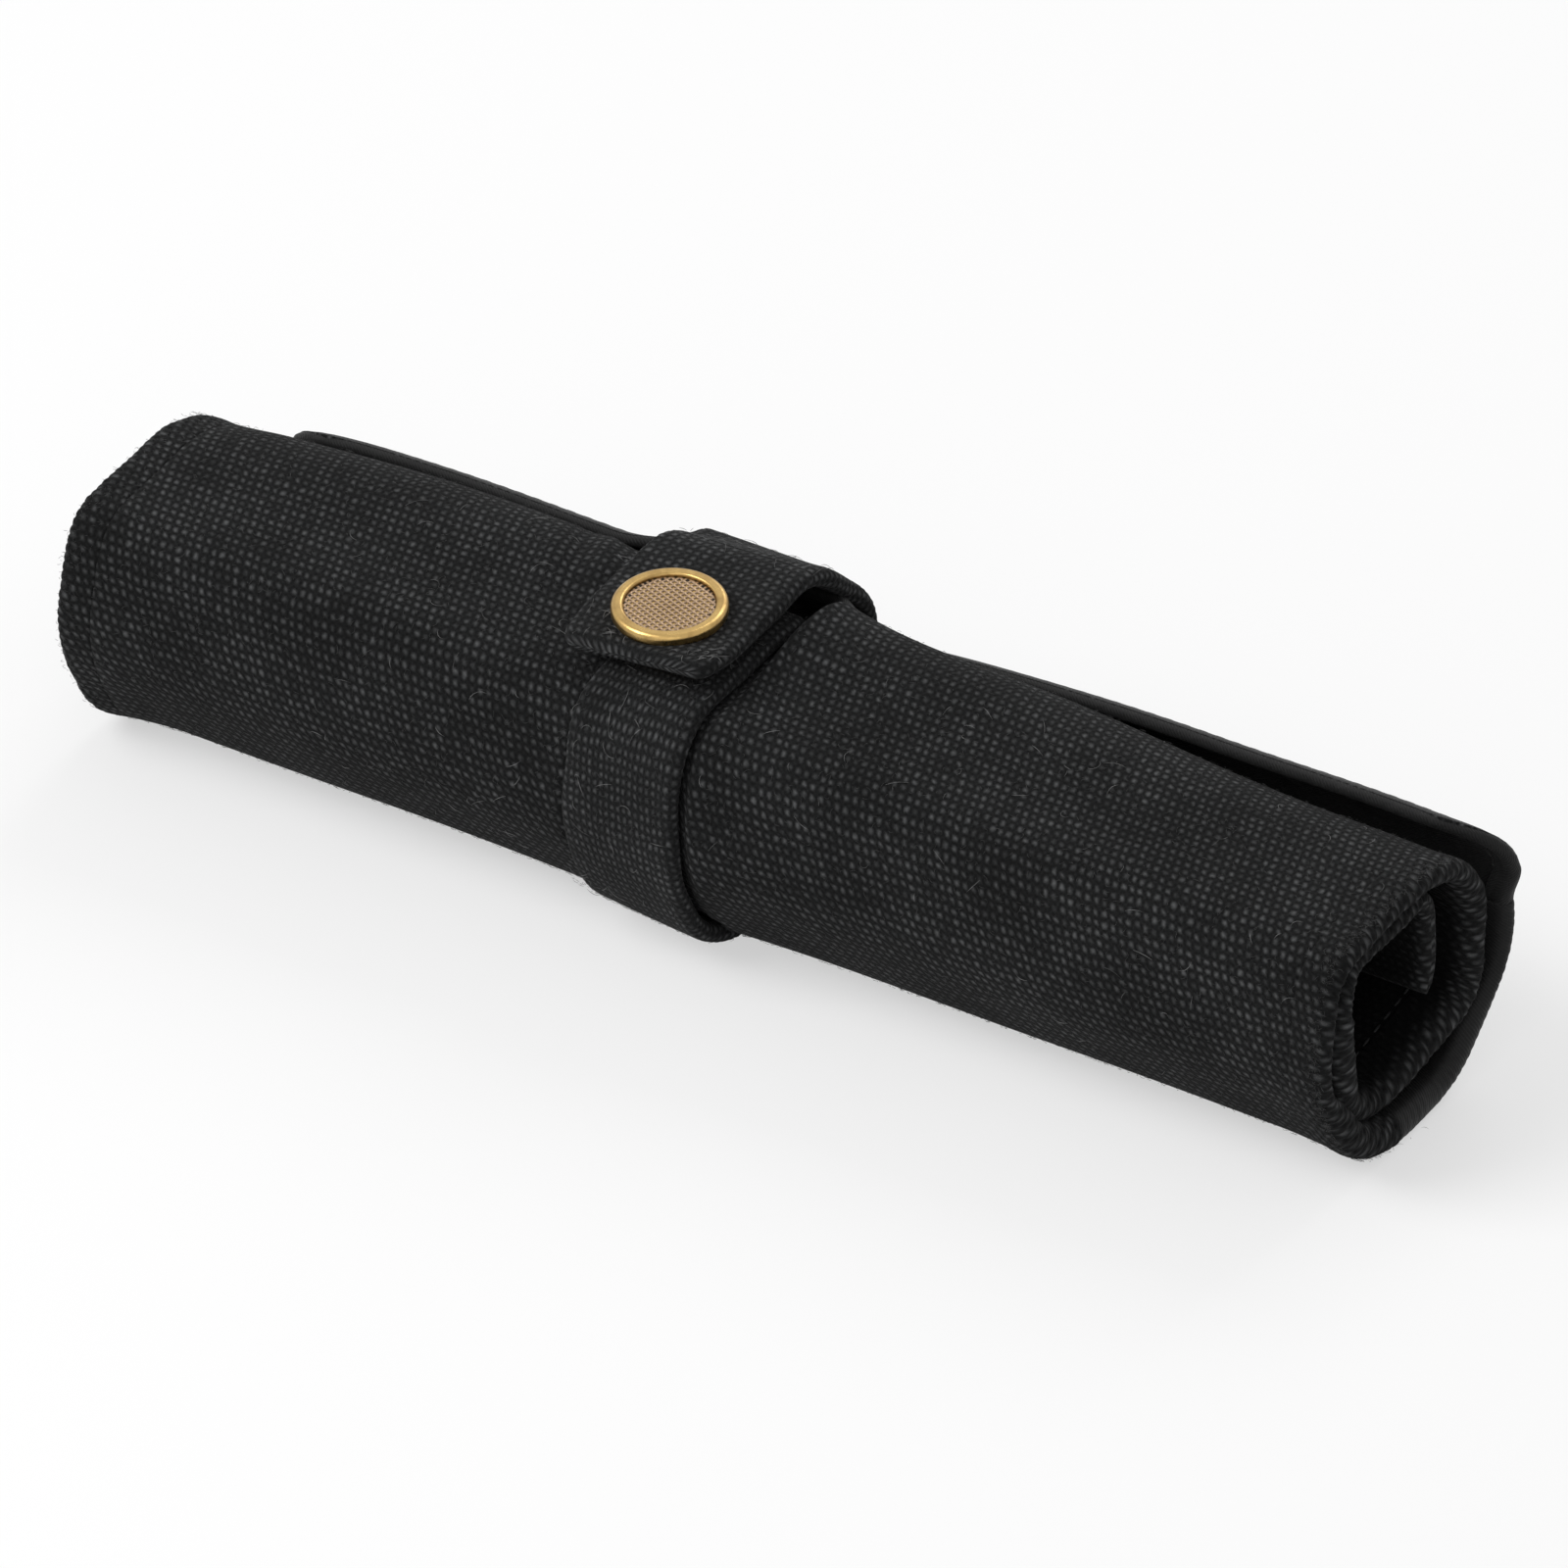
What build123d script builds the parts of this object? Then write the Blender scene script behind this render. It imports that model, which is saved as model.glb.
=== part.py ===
"""A rolled canvas watch roll, closed by a strap with a press stud. Millimetres, +Z up.

X runs along the roll, the front of the roll faces -Y, and the origin lies on the flat underside.
Sections are drawn in the plane (forward, up), where forward is -Y, and are extruded along X.
"""
import math
import os

from build123d import *

# ---- driving dimensions -------------------------------------------------------------------------
# The sheet's plies, from the outer canvas inwards
CANVAS = 1.2
PADDING = 1.4
LINING = 0.4
POCKET_CANVAS = 1.1
PLY_GAP = 0.05

# The rolled section
ROLL_LENGTH = 215.0
FRONT_REACH = 25.57
BACK_REACH = 25.47
SHOULDER_HEIGHT = 41.2
SIDE_SLOPE = 60.0
FRONT_LEAN = 100.0
TOP_HEADING = 176.0
BACK_SLOPE = 44.0
FRONT_UNDER_RADIUS = 17.0
FRONT_UNDER_LINE = 6.0
FRONT_BELLY_RADIUS = 22.0
FRONT_SHOULDER_RADIUS = 8.2
BACK_UNDER_RADIUS = 14.0
BACK_UNDER_LINE = 6.5
BACK_BELLY_RADIUS = 21.5

# The second turn, inside the first
TURN_GAP = 0.4
BACK_GAP = 3.37
FRONT_GAP = 1.57
SECOND_TOP_RADIUS = 24.0
SECOND_TOP_TURN = 34.0
SECOND_BACK_RADIUS = 13.5
SECOND_UNDER_RADIUS = 10.0
SECOND_UNDER_TURN = 76.0
SECOND_FRONT_RADIUS = 11.5
SECOND_FRONT_TURN = 92.0
SECOND_FRONT_LINE = 8.0
SECOND_BELLY_RADIUS = 15.0
SECOND_BELLY_TURN = 16.0
INNER_SHOULDER_RADIUS = 8.0

# The loose inner end, which hangs from the top of the core
TONGUE_BACK = 7.2
TONGUE_BEND_RADIUS = 5.0
TONGUE_BEND_TURN = 92.0
TONGUE_FIXED_TURN = 38.0
TONGUE_GAP_TURN = 9.0
TONGUE_LENGTH = 10.5
TONGUE_HEM = 2.2

# The free flap at the back
FLAP_HINGE_HEIGHT = 26.0
FLAP_STRAIGHT = 2.6
FLAP_SHOULDER_RADIUS = 15.0
FLAP_SHOULDER_TURN = 42.0
FLAP_LIP = 4.2
FLAP_FAR_INSET = 9.5
FLAP_NEAR_OVERHANG = 2.5
FLAP_CORNER_RADIUS = 6.0
FLAP_EDGE_WIDTH = 2.4
FLAP_EDGE_ROLL = 0.6
HINGE_GAP = 0.4

# Hems and seams
HEM_FOLD = 1.2
HEM_INSET = 0.3
HEM_SEAM_INSET = 8.0
THREAD = 0.5
THREAD_RISE = 0.25
POCKET_COUNT = 4
TACK_MARGIN = 2.0
TACK_PITCH = 1.4
TACK_INSET = 0.5

# The strap
STRAP_WIDTH = 25.0
STRAP_THICK = 2.8
STRAP_CENTRE_X = -14.0
STRAP_CORNER_RADIUS = 2.5
STRAP_BASE_TURN = 22.0
STRAP_SIDE_GAP = 0.2
STRAP_LIFT = 2.2
TAB_END = 18.5
TAB_HINGE = -6.0
LOOP_HINGE_TURN = 12.0
LOOP_TOP_RADIUS = 8.0
LOOP_SIDE_RADIUS = 17.0
LOOP_HEADING = 224.0

# The press stud
SNAP_FORWARD = 7.8
CAP_RADIUS = 8.5
CAP_HEIGHT = 2.2
CAP_RIM = 1.8
CAP_WALL = 0.5
CAP_RECESS = 0.45
CAP_ROUND = 0.75
CAP_LIP_ROUND = 0.4
MESH_THICK = 0.3
STUD_HEAD_RADIUS = 3.2
STUD_NECK_RADIUS = 2.7
STUD_FLANGE_RADIUS = 5.75
STUD_FLANGE = 0.5
STUD_HEIGHT = 2.5
STUD_WALL = 0.4
STUD_NECK_HEIGHT = 1.2
STUD_HEAD_LOW = 1.4
STUD_HEAD_HIGH = 2.2
SOCKET_RADIUS = 6.2
SOCKET_CLEARANCE = 0.65
SOCKET_WALL = 0.5
POST_RADIUS = 1.6
POST_BORE = 1.1
POST_FLARE = 0.4
POST_FLARE_RADIUS = 2.15
FLARE_CLEARANCE = 0.2
POST_FLANGE_RADIUS = 4.5
POST_FLANGE = 0.45
SPRING_WIRE = 0.25
SPRING_OPENING = 40.0
SPRING_HEIGHT = 1.6
STIFFENER_RADIUS = 9.0
STIFFENER = 0.5
FIT = 0.05

# ---- derived sizes --------------------------------------------------------------------------------
PADDING_DEPTH = CANVAS + PLY_GAP
LINING_DEPTH = PADDING_DEPTH + PADDING + PLY_GAP
OUTER_THICK = LINING_DEPTH + LINING
POCKET_DEPTH = OUTER_THICK + PLY_GAP
POCKET_THICK = POCKET_DEPTH + POCKET_CANVAS
THIN_LINING_DEPTH = CANVAS + PLY_GAP
THIN_THICK = THIN_LINING_DEPTH + LINING
TONGUE_HEM_DEPTH = THIN_THICK + PLY_GAP
TONGUE_THICK = TONGUE_HEM_DEPTH + TONGUE_HEM
STRAP_OUT = STRAP_THICK + PLY_GAP
SECOND_BOTTOM = STRAP_OUT + OUTER_THICK + TURN_GAP
ROLL_END = ROLL_LENGTH / 2
PLY_END = ROLL_END - HEM_FOLD - PLY_GAP
FLAP_FAR_X = FLAP_FAR_INSET - ROLL_END
FLAP_NEAR_X = ROLL_END + FLAP_NEAR_OVERHANG
STRAP_FAR_X = STRAP_CENTRE_X - STRAP_WIDTH / 2
STRAP_NEAR_X = STRAP_CENTRE_X + STRAP_WIDTH / 2
DENT_MARGIN = STRAP_SIDE_GAP + CANVAS
FORWARD = Vector(1, 0)
UP = Vector(0, 1)

# Heights on the press stud's axis, above the strap base's outer face
TAB_FACE = STRAP_LIFT + STRAP_THICK
FLANGE_TOP = PLY_GAP + STUD_FLANGE
STUD_CAVITY_TOP = STUD_HEIGHT - STUD_WALL
STUD_FLARE_LOW = STUD_CAVITY_TOP - FIT - POST_FLARE
CAP_FLARE_LOW = STUD_HEIGHT + FLARE_CLEARANCE
SOCKET_LOW = FLANGE_TOP + PLY_GAP
SOCKET_BORE = STUD_HEAD_RADIUS + SOCKET_CLEARANCE
SOCKET_CEILING = CAP_FLARE_LOW + POST_FLARE + FIT
SOCKET_TOP = SOCKET_CEILING + SOCKET_WALL
CAP_LOW = TAB_FACE + PLY_GAP
CAP_TOP = TAB_FACE + CAP_HEIGHT
MESH_TOP = CAP_TOP - CAP_RECESS
CAP_FLOOR = MESH_TOP - MESH_THICK - FIT
CAP_CAVITY = CAP_RADIUS - CAP_RIM
BASE_STIFFENER_LOW = -STRAP_THICK / 2
TAB_STIFFENER_LOW = TAB_FACE - 2 * STIFFENER


# ---- section toolkit ------------------------------------------------------------------------------
def heading(degrees):
    """Unit vector of a heading in the section plane: 0 is forward, 90 is up."""
    return Vector(math.cos(math.radians(degrees)), math.sin(math.radians(degrees)))


class Step:
    """One tangent stretch of the sheet's outer face: a line, or an arc when it has a radius."""

    def __init__(self, start, end, start_inward, end_inward, radius=0.0):
        self.start, self.end = start, end
        self.start_inward, self.end_inward = start_inward, end_inward
        self.radius = radius

    def length(self):
        """The length of the step's outer face."""
        if self.radius == 0.0:
            return (self.end - self.start).length
        return self.radius * math.radians(self.start_inward.get_angle(self.end_inward))

    def reversed(self):
        return Step(self.end, self.start, self.end_inward, self.start_inward, self.radius)

    def inward(self, share):
        """The direction into the sheet at a share of the step."""
        blend = self.start_inward * (1 - share) + self.end_inward * share
        return blend.normalized()

    def point(self, share, depth):
        """The point at a share of the step, that depth inside the outer face."""
        if self.radius == 0.0:
            return self.start * (1 - share) + self.end * share + self.start_inward * depth
        centre = self.start + self.start_inward * self.radius
        return centre - self.inward(share) * (self.radius - depth)

    def edge(self, depth):
        """The step's curve, that depth inside the outer face."""
        if self.radius == 0.0:
            return Line(self.point(0, depth), self.point(1, depth))
        return ThreePointArc(self.point(0, depth), self.point(0.5, depth), self.point(1, depth))

    def plane(self, share, depth, x):
        """A plane on the face at that depth, its normal outwards and its x along the roll."""
        at = self.point(share, depth)
        out = self.inward(share) * -1
        return Plane(origin=(x, -at.X, at.Y), x_dir=(1, 0, 0), z_dir=(0, -out.X, out.Y))


class Trail:
    """A run of tangent steps. turn_sign is 1 when it turns left round the core, -1 when right."""

    def __init__(self, start, degrees, turn_sign=1):
        self.start, self.degrees, self.turn_sign = start, degrees, turn_sign
        self.steps = []

    def inward(self):
        return heading(self.degrees + 90 * self.turn_sign)

    def add(self, end, degrees, radius):
        start, before = self.start, self.inward()
        self.start, self.degrees = end, degrees
        self.steps.append(Step(start, end, before, self.inward(), radius))

    def line(self, length):
        self.add(self.start + heading(self.degrees) * length, self.degrees, 0.0)

    def arc(self, radius, turn):
        centre = self.start + self.inward() * radius
        degrees = self.degrees + turn * self.turn_sign
        self.add(centre - heading(degrees + 90 * self.turn_sign) * radius, degrees, radius)

    def follow(self, moves):
        """Moves in turn: one number is a line's length, and two are an arc's radius and turn."""
        for move in moves:
            if len(move) == 1:
                self.line(*move)
            else:
                self.arc(*move)

    def length_to(self, direction, reach, rest=()):
        """The straight length after which the rest of the moves ends at a reach in a direction."""
        probe = Trail(self.start, self.degrees, self.turn_sign)
        probe.follow(rest)
        return (reach - probe.start.dot(direction)) / heading(self.degrees).dot(direction)

    def line_to(self, direction, reach, rest=()):
        self.line(self.length_to(direction, reach, rest))


def ribbon(steps, outer, inner):
    """The closed face between two depths along a run of steps."""
    edges = [step.edge(outer) for step in steps] + [step.edge(inner) for step in steps]
    edges.append(Line(steps[0].point(0, outer), steps[0].point(0, inner)))
    edges.append(Line(steps[-1].point(1, outer), steps[-1].point(1, inner)))
    return make_face(edges)


def bowl(steps, depth):
    """The face between a run of steps and the chord that closes it."""
    edges = [step.edge(depth) for step in steps]
    edges.append(Line(steps[0].point(0, depth), steps[-1].point(1, depth)))
    return make_face(edges)


def along(face, first_x, last_x):
    """A section face extruded along the roll from one end to the other."""
    plane = Plane(origin=(last_x, 0, 0), x_dir=(0, -1, 0), z_dir=(-1, 0, 0))
    return extrude(plane * face, amount=last_x - first_x)


def ply(steps, outer, inner, first_x, last_x):
    return along(ribbon(steps, outer, inner), first_x, last_x)


def joined(shapes):
    """Shapes that are one piece of the object."""
    whole = shapes[0]
    for shape in shapes[1:]:
        whole = whole + shape
    return whole


# ---- the sheet's path -----------------------------------------------------------------------------
def foot(reach, moves):
    """How far from the middle the flat underside ends, for a side of these moves to reach so far."""
    side = Trail(Vector(0, 0), 0)
    side.follow(moves)
    return reach - side.start.X


class Sheet:
    """The outer face of the rolled sheet, in named runs of steps.

    lift raises the flat underside, as where the strap presses it in, and leaves the rest in place.
    """

    def __init__(self, lift):
        back, flap = self.up_the_back(lift)
        front = self.up_the_front(lift)
        underside = Step(back[0].start, front.steps[0].start, UP, UP)
        self.outer_back = [step.reversed() for step in reversed(back)]
        self.flap_straight, self.flap_turn, self.flap_upper, self.flap_seam, self.flap_lip = flap
        self.lining_start = self.outer_back[0]
        self.under = self.outer_back[-2:] + [underside] + front.steps[:2]
        self.top, self.base_end = front.steps[5:7]
        self.padded_outer = self.outer_back[1:] + [underside] + front.steps[:9]
        self.pocketed = front.steps[9:15]
        self.lining_end = front.steps[15]
        self.thin = front.steps[16:20]
        self.tongue_gap, self.tongue_bend, self.tongue_drop, self.tongue_tip = front.steps[20:]
        self.base_run = self.outer_back + [underside] + front.steps[:7]
        self.whole = self.outer_back + [underside] + front.steps[:20]

    @staticmethod
    def up_the_back(lift):
        """From the flat underside up the back to the flap's hinge, then on to the free edge."""
        under = (BACK_UNDER_RADIUS, BACK_SLOPE)
        to_widest = (BACK_BELLY_RADIUS, 90 - BACK_SLOPE)
        run_out = lift / math.tan(math.radians(BACK_SLOPE))
        edge = foot(BACK_REACH, [under, (BACK_UNDER_LINE,), to_widest])
        back = Trail(Vector(-edge - run_out, lift), 180, -1)
        back.arc(*under)
        back.line(BACK_UNDER_LINE - lift / math.sin(math.radians(BACK_SLOPE)))
        back.arc(BACK_BELLY_RADIUS, 90 - BACK_SLOPE)
        back.line_to(UP, FLAP_HINGE_HEIGHT - LINING)
        back.line(LINING)
        flap = Trail(back.start + UP * HINGE_GAP, 90, -1)
        flap.line(FLAP_STRAIGHT)
        flap.arc(FLAP_SHOULDER_RADIUS, LOOP_HINGE_TURN)
        flap.arc(FLAP_SHOULDER_RADIUS, FLAP_SHOULDER_TURN - LOOP_HINGE_TURN)
        flap.line(THREAD)
        flap.line(FLAP_LIP)
        return back.steps, flap.steps

    @staticmethod
    def up_the_front(lift):
        """From the flat underside up the front, over the top and round to the inner end."""
        under = (FRONT_UNDER_RADIUS, SIDE_SLOPE)
        front_widest = (FRONT_BELLY_RADIUS, 90 - SIDE_SLOPE)
        run_out = lift / math.tan(math.radians(SIDE_SLOPE))
        edge = foot(FRONT_REACH, [under, (FRONT_UNDER_LINE,), front_widest])
        front = Trail(Vector(edge + run_out, lift), 0)
        shoulder = (FRONT_SHOULDER_RADIUS, TOP_HEADING - FRONT_LEAN)
        second_top = (SECOND_TOP_RADIUS, SECOND_TOP_TURN)
        second_back = (SECOND_BACK_RADIUS, 270 - TOP_HEADING - SECOND_TOP_TURN)
        second_under = (SECOND_UNDER_RADIUS, SECOND_UNDER_TURN)
        second_front = (SECOND_FRONT_RADIUS, SECOND_FRONT_TURN)
        inner_lean = 270 + SECOND_UNDER_TURN + SECOND_FRONT_TURN + SECOND_BELLY_TURN
        inner_shoulder = (INNER_SHOULDER_RADIUS, TOP_HEADING + 360 - inner_lean)
        to_lowest = (SECOND_FRONT_RADIUS, 90 - SECOND_UNDER_TURN)
        to_widest = (SECOND_BELLY_RADIUS, 180 - SECOND_UNDER_TURN - SECOND_FRONT_TURN)
        bend = (TONGUE_BEND_RADIUS, TONGUE_BEND_TURN)

        front.arc(*under)
        front.line(FRONT_UNDER_LINE - lift / math.sin(math.radians(SIDE_SLOPE)))
        front.arc(FRONT_BELLY_RADIUS, FRONT_LEAN - SIDE_SLOPE)
        front.line_to(UP, SHOULDER_HEIGHT, [shoulder])
        front.arc(*shoulder)
        front.line_to(FORWARD, OUTER_THICK + BACK_GAP - BACK_REACH, [second_top, second_back])
        front.arc(SECOND_TOP_RADIUS, STRAP_BASE_TURN)
        front.arc(SECOND_TOP_RADIUS, SECOND_TOP_TURN - STRAP_BASE_TURN)
        front.arc(*second_back)
        after_back = Trail(front.start, front.degrees)
        after_back.arc(*second_under)
        second_reach = FRONT_REACH - OUTER_THICK - FRONT_GAP
        under_rest = [second_front, (SECOND_FRONT_LINE,), to_widest]
        under_line = after_back.length_to(FORWARD, second_reach, under_rest)
        front.line_to(UP, SECOND_BOTTOM, [second_under, (under_line,), to_lowest])
        front.arc(*second_under)
        front.line(under_line)
        front.arc(*second_front)
        front.line(SECOND_FRONT_LINE)
        front.arc(SECOND_BELLY_RADIUS, SECOND_BELLY_TURN)
        front.line(LINING)
        inner_top = SHOULDER_HEIGHT - OUTER_THICK - TURN_GAP
        front.line_to(UP, inner_top, [inner_shoulder])
        front.arc(*inner_shoulder)
        front.line_to(FORWARD, -TONGUE_BACK, [bend])
        front.arc(TONGUE_BEND_RADIUS, TONGUE_FIXED_TURN)
        front.arc(TONGUE_BEND_RADIUS, TONGUE_GAP_TURN)
        front.arc(TONGUE_BEND_RADIUS, TONGUE_BEND_TURN - TONGUE_FIXED_TURN - TONGUE_GAP_TURN)
        front.line(TONGUE_LENGTH)
        front.line(HEM_FOLD)
        return front


PLAIN = Sheet(lift=0.0)
DENTED = Sheet(lift=STRAP_OUT)
FLAP_STEPS = [PLAIN.flap_straight, PLAIN.flap_turn, PLAIN.flap_upper, PLAIN.flap_seam]


def strap_over_flap():
    """The strap's inner face from the flap, over its free edge, to a line above the roll's top."""
    outward = PLAIN.top.start_inward * -1
    clear = PLAIN.top.start.dot(outward) + STRAP_THICK + STRAP_LIFT
    loop_start = PLAIN.flap_turn.end
    first_heading = 90 - LOOP_HINGE_TURN
    side = (LOOP_SIDE_RADIUS, first_heading - (LOOP_HEADING - 180))
    top = (LOOP_TOP_RADIUS, LOOP_HEADING - TOP_HEADING)
    trail = Trail(loop_start, first_heading, -1)
    trail.line(HINGE_GAP)
    trail.arc(*side)
    trail.line_to(outward, clear, [top])
    trail.arc(*top)
    trail.line_to(FORWARD, TAB_HINGE - HINGE_GAP / 2)
    trail.line(HINGE_GAP)
    trail.line_to(FORWARD, TAB_END)
    return trail.steps


STRAP_STEPS = strap_over_flap()
LOOP_STEPS = STRAP_STEPS[1:5]
TAB_STEP = STRAP_STEPS[6]


def across_zones(build, end):
    """A ply of the sheet over the plain stretches and the stretch that the strap presses in."""
    far, near = STRAP_FAR_X - DENT_MARGIN, STRAP_NEAR_X + DENT_MARGIN
    return joined([build(PLAIN, -end, far), build(DENTED, far, near), build(PLAIN, near, end)])


# ---- the sheet's pieces ---------------------------------------------------------------------------
def outer_canvas():
    """The outer ply, with a riser where the strap presses the underside in."""
    plies = across_zones(lambda sheet, x0, x1: ply(sheet.whole, 0, CANVAS, x0, x1), PLY_END)
    riser = bowl(PLAIN.under, 0) - bowl(DENTED.under, CANVAS)
    far = along(riser, STRAP_FAR_X - DENT_MARGIN, STRAP_FAR_X - STRAP_SIDE_GAP)
    near = along(riser, STRAP_NEAR_X + STRAP_SIDE_GAP, STRAP_NEAR_X + DENT_MARGIN)
    return joined([plies, far, near])


def padding():
    def build(sheet, x0, x1):
        steps = sheet.padded_outer + sheet.pocketed
        return ply(steps, PADDING_DEPTH, PADDING_DEPTH + PADDING, x0, x1)
    return across_zones(build, PLY_END)


def lining():
    """The inner ply: over the padding, closed round its two edges, then thin to the inner end."""
    def build(sheet, x0, x1):
        return joined([
            ply([sheet.lining_start], THIN_LINING_DEPTH, OUTER_THICK, x0, x1),
            ply(sheet.padded_outer + sheet.pocketed, LINING_DEPTH, OUTER_THICK, x0, x1),
            ply([sheet.lining_end], THIN_LINING_DEPTH, OUTER_THICK, x0, x1),
            ply(sheet.thin, THIN_LINING_DEPTH, THIN_THICK, x0, x1),
        ])
    return across_zones(build, PLY_END)


def pocket_band():
    return ply(PLAIN.pocketed, POCKET_DEPTH, POCKET_THICK, -PLY_END, PLY_END)


def hem(first_x, last_x):
    """The folded canvas edge that closes the plies at one end of the roll."""
    outer_turn = [PLAIN.lining_start] + PLAIN.padded_outer
    thin = [PLAIN.lining_end] + PLAIN.thin
    return joined([
        ply(outer_turn, HEM_INSET, OUTER_THICK, first_x, last_x),
        ply(PLAIN.pocketed, HEM_INSET, POCKET_THICK, first_x, last_x),
        ply(thin, HEM_INSET, THIN_THICK, first_x, last_x),
    ])


def seam(steps, face_depth, x):
    """A line of thread along the section, on an inner face at that depth."""
    depth = face_depth + PLY_GAP
    return ply(steps, depth, depth + THREAD_RISE, x - THREAD / 2, x + THREAD / 2)


def hem_seams():
    """The stitching of both hems, on the pocket band and on the outer turn's lining."""
    inset = ROLL_END - HEM_SEAM_INSET
    rows = []
    for x in (-inset, inset):
        rows += [seam(PLAIN.padded_outer, OUTER_THICK, x), seam(PLAIN.pocketed, POCKET_THICK, x)]
    return Compound(children=rows)


def pocket_seams():
    """The stitching that divides the band into pockets."""
    pitch = ROLL_LENGTH / POCKET_COUNT
    places = [pitch * count - ROLL_END for count in range(1, POCKET_COUNT)]
    return Compound(children=[seam(PLAIN.pocketed, POCKET_THICK, x) for x in places])


# ---- the flap -------------------------------------------------------------------------------------
def flap_corners():
    """What the flap's two rounded corners leave over, seen from behind."""
    top = PLAIN.flap_lip.end.Y
    through = 4 * BACK_REACH
    blocks = []
    for x, inwards in ((FLAP_FAR_X, 1), (FLAP_NEAR_X, -1)):
        square = Pos(x, 0, top) * Box(2 * FLAP_CORNER_RADIUS, through, 2 * FLAP_CORNER_RADIUS)
        middle = Pos(x + inwards * FLAP_CORNER_RADIUS, 0, top - FLAP_CORNER_RADIUS)
        blocks.append(square - middle * Rot(90, 0, 0) * Cylinder(FLAP_CORNER_RADIUS, through))
    return blocks


def cut_corners(piece):
    for block in flap_corners():
        piece = piece - block
    return piece


def flap_ply(outer, inner):
    edge = FLAP_EDGE_WIDTH
    return cut_corners(ply(FLAP_STEPS, outer, inner, FLAP_FAR_X + edge, FLAP_NEAR_X - edge))


def flap_edge():
    """The rolled double edge round the flap's two ends and its free side."""
    thick = THIN_THICK + FLAP_EDGE_ROLL
    ends = [(FLAP_FAR_X, FLAP_FAR_X + FLAP_EDGE_WIDTH - PLY_GAP),
            (FLAP_NEAR_X - FLAP_EDGE_WIDTH + PLY_GAP, FLAP_NEAR_X)]
    strips = [ply(FLAP_STEPS, 0, thick, x0, x1) for x0, x1 in ends]
    return cut_corners(joined([ply([PLAIN.flap_lip], 0, thick, FLAP_FAR_X, FLAP_NEAR_X)] + strips))


def flap_seam():
    inset = FLAP_EDGE_WIDTH + THREAD + FLAP_CORNER_RADIUS
    depth = THIN_THICK + PLY_GAP
    return ply([PLAIN.flap_seam], depth, depth + THREAD_RISE, FLAP_FAR_X + inset, FLAP_NEAR_X - inset)


# ---- the loose inner end --------------------------------------------------------------------------
def tongue_ply(outer, inner):
    return ply([PLAIN.tongue_bend, PLAIN.tongue_drop], outer, inner, -PLY_END, PLY_END)


def inner_end_hem():
    """The inner end's wide fold, with its tip and its two ends."""
    both = [PLAIN.tongue_bend, PLAIN.tongue_drop]
    ends = [(-ROLL_END, -PLY_END - PLY_GAP), (PLY_END + PLY_GAP, ROLL_END)]
    caps = [ply(both, HEM_INSET, TONGUE_THICK, x0, x1) for x0, x1 in ends]
    fold = ply([PLAIN.tongue_drop], TONGUE_HEM_DEPTH, TONGUE_THICK, -ROLL_END, ROLL_END)
    tip = ply([PLAIN.tongue_tip], HEM_INSET, TONGUE_THICK, -ROLL_END, ROLL_END)
    return joined([fold, tip] + caps)


# ---- the strap ------------------------------------------------------------------------------------
SNAP = PLAIN.top.plane((PLAIN.top.start.X - SNAP_FORWARD) / (PLAIN.top.start.X - PLAIN.top.end.X),
                       -STRAP_OUT, STRAP_CENTRE_X)


def strap_ply(steps):
    return ply(steps, -STRAP_OUT, -PLY_GAP, STRAP_FAR_X, STRAP_NEAR_X)


def disc(radius, low, high):
    """A disc on the press stud's axis. Heights are above the strap base's outer face."""
    return SNAP * Pos(0, 0, (low + high) / 2) * Cylinder(radius, high - low)


def stiffener(low):
    """A backing washer folded into the strap, with room for the post."""
    return disc(STIFFENER_RADIUS, low, low + STIFFENER) - disc(POST_RADIUS + FIT, low, low + STIFFENER)


def strap_base():
    """The strap from under the tab, down the front, under the roll and up to the flap's hinge."""
    strap = strap_ply(DENTED.base_run)
    low = BASE_STIFFENER_LOW
    strap -= disc(STIFFENER_RADIUS + FIT, low - FIT, low + STIFFENER + FIT)
    strap -= disc(POST_RADIUS + FIT, -STRAP_THICK - FIT, FIT)
    return strap - disc(POST_FLANGE_RADIUS + FIT, -STRAP_THICK - FIT, POST_FLANGE - STRAP_THICK + FIT)


def strap_tab():
    """The strap's free tab, with its corners rounded and its underside pressed in by the socket."""
    tab = strap_ply([TAB_STEP])
    corners = tab.faces().sort_by(Axis.Y)[0].edges().filter_by(Axis.X, reverse=True)
    tab = fillet(corners, STRAP_CORNER_RADIUS)
    tab -= disc(SOCKET_RADIUS + FIT, 0, SOCKET_TOP + FIT)
    low = TAB_STIFFENER_LOW
    tab -= disc(STIFFENER_RADIUS + FIT, low - FIT, low + STIFFENER + FIT)
    return tab - disc(POST_RADIUS + FIT, 0, TAB_FACE + FIT)


def tack(step):
    """Two rows of stitches across the strap, on its outer face at the end of the step."""
    width = STRAP_WIDTH - 2 * TACK_MARGIN
    rows = []
    for inset in (TACK_INSET, TACK_INSET + TACK_PITCH):
        share = 1 - inset / step.length()
        plane = step.plane(share, -STRAP_OUT - PLY_GAP - THREAD_RISE / 2, STRAP_CENTRE_X)
        rows.append(plane * Box(width, THREAD, THREAD_RISE))
    return Compound(children=rows)


# ---- the press stud -------------------------------------------------------------------------------
def turned(profile):
    """A piece turned about the press stud's axis from its (radius, height) outline."""
    outline = Plane.XZ * make_face(Polyline(*profile, close=True))
    return SNAP * revolve(outline, Axis.Z)


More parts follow.
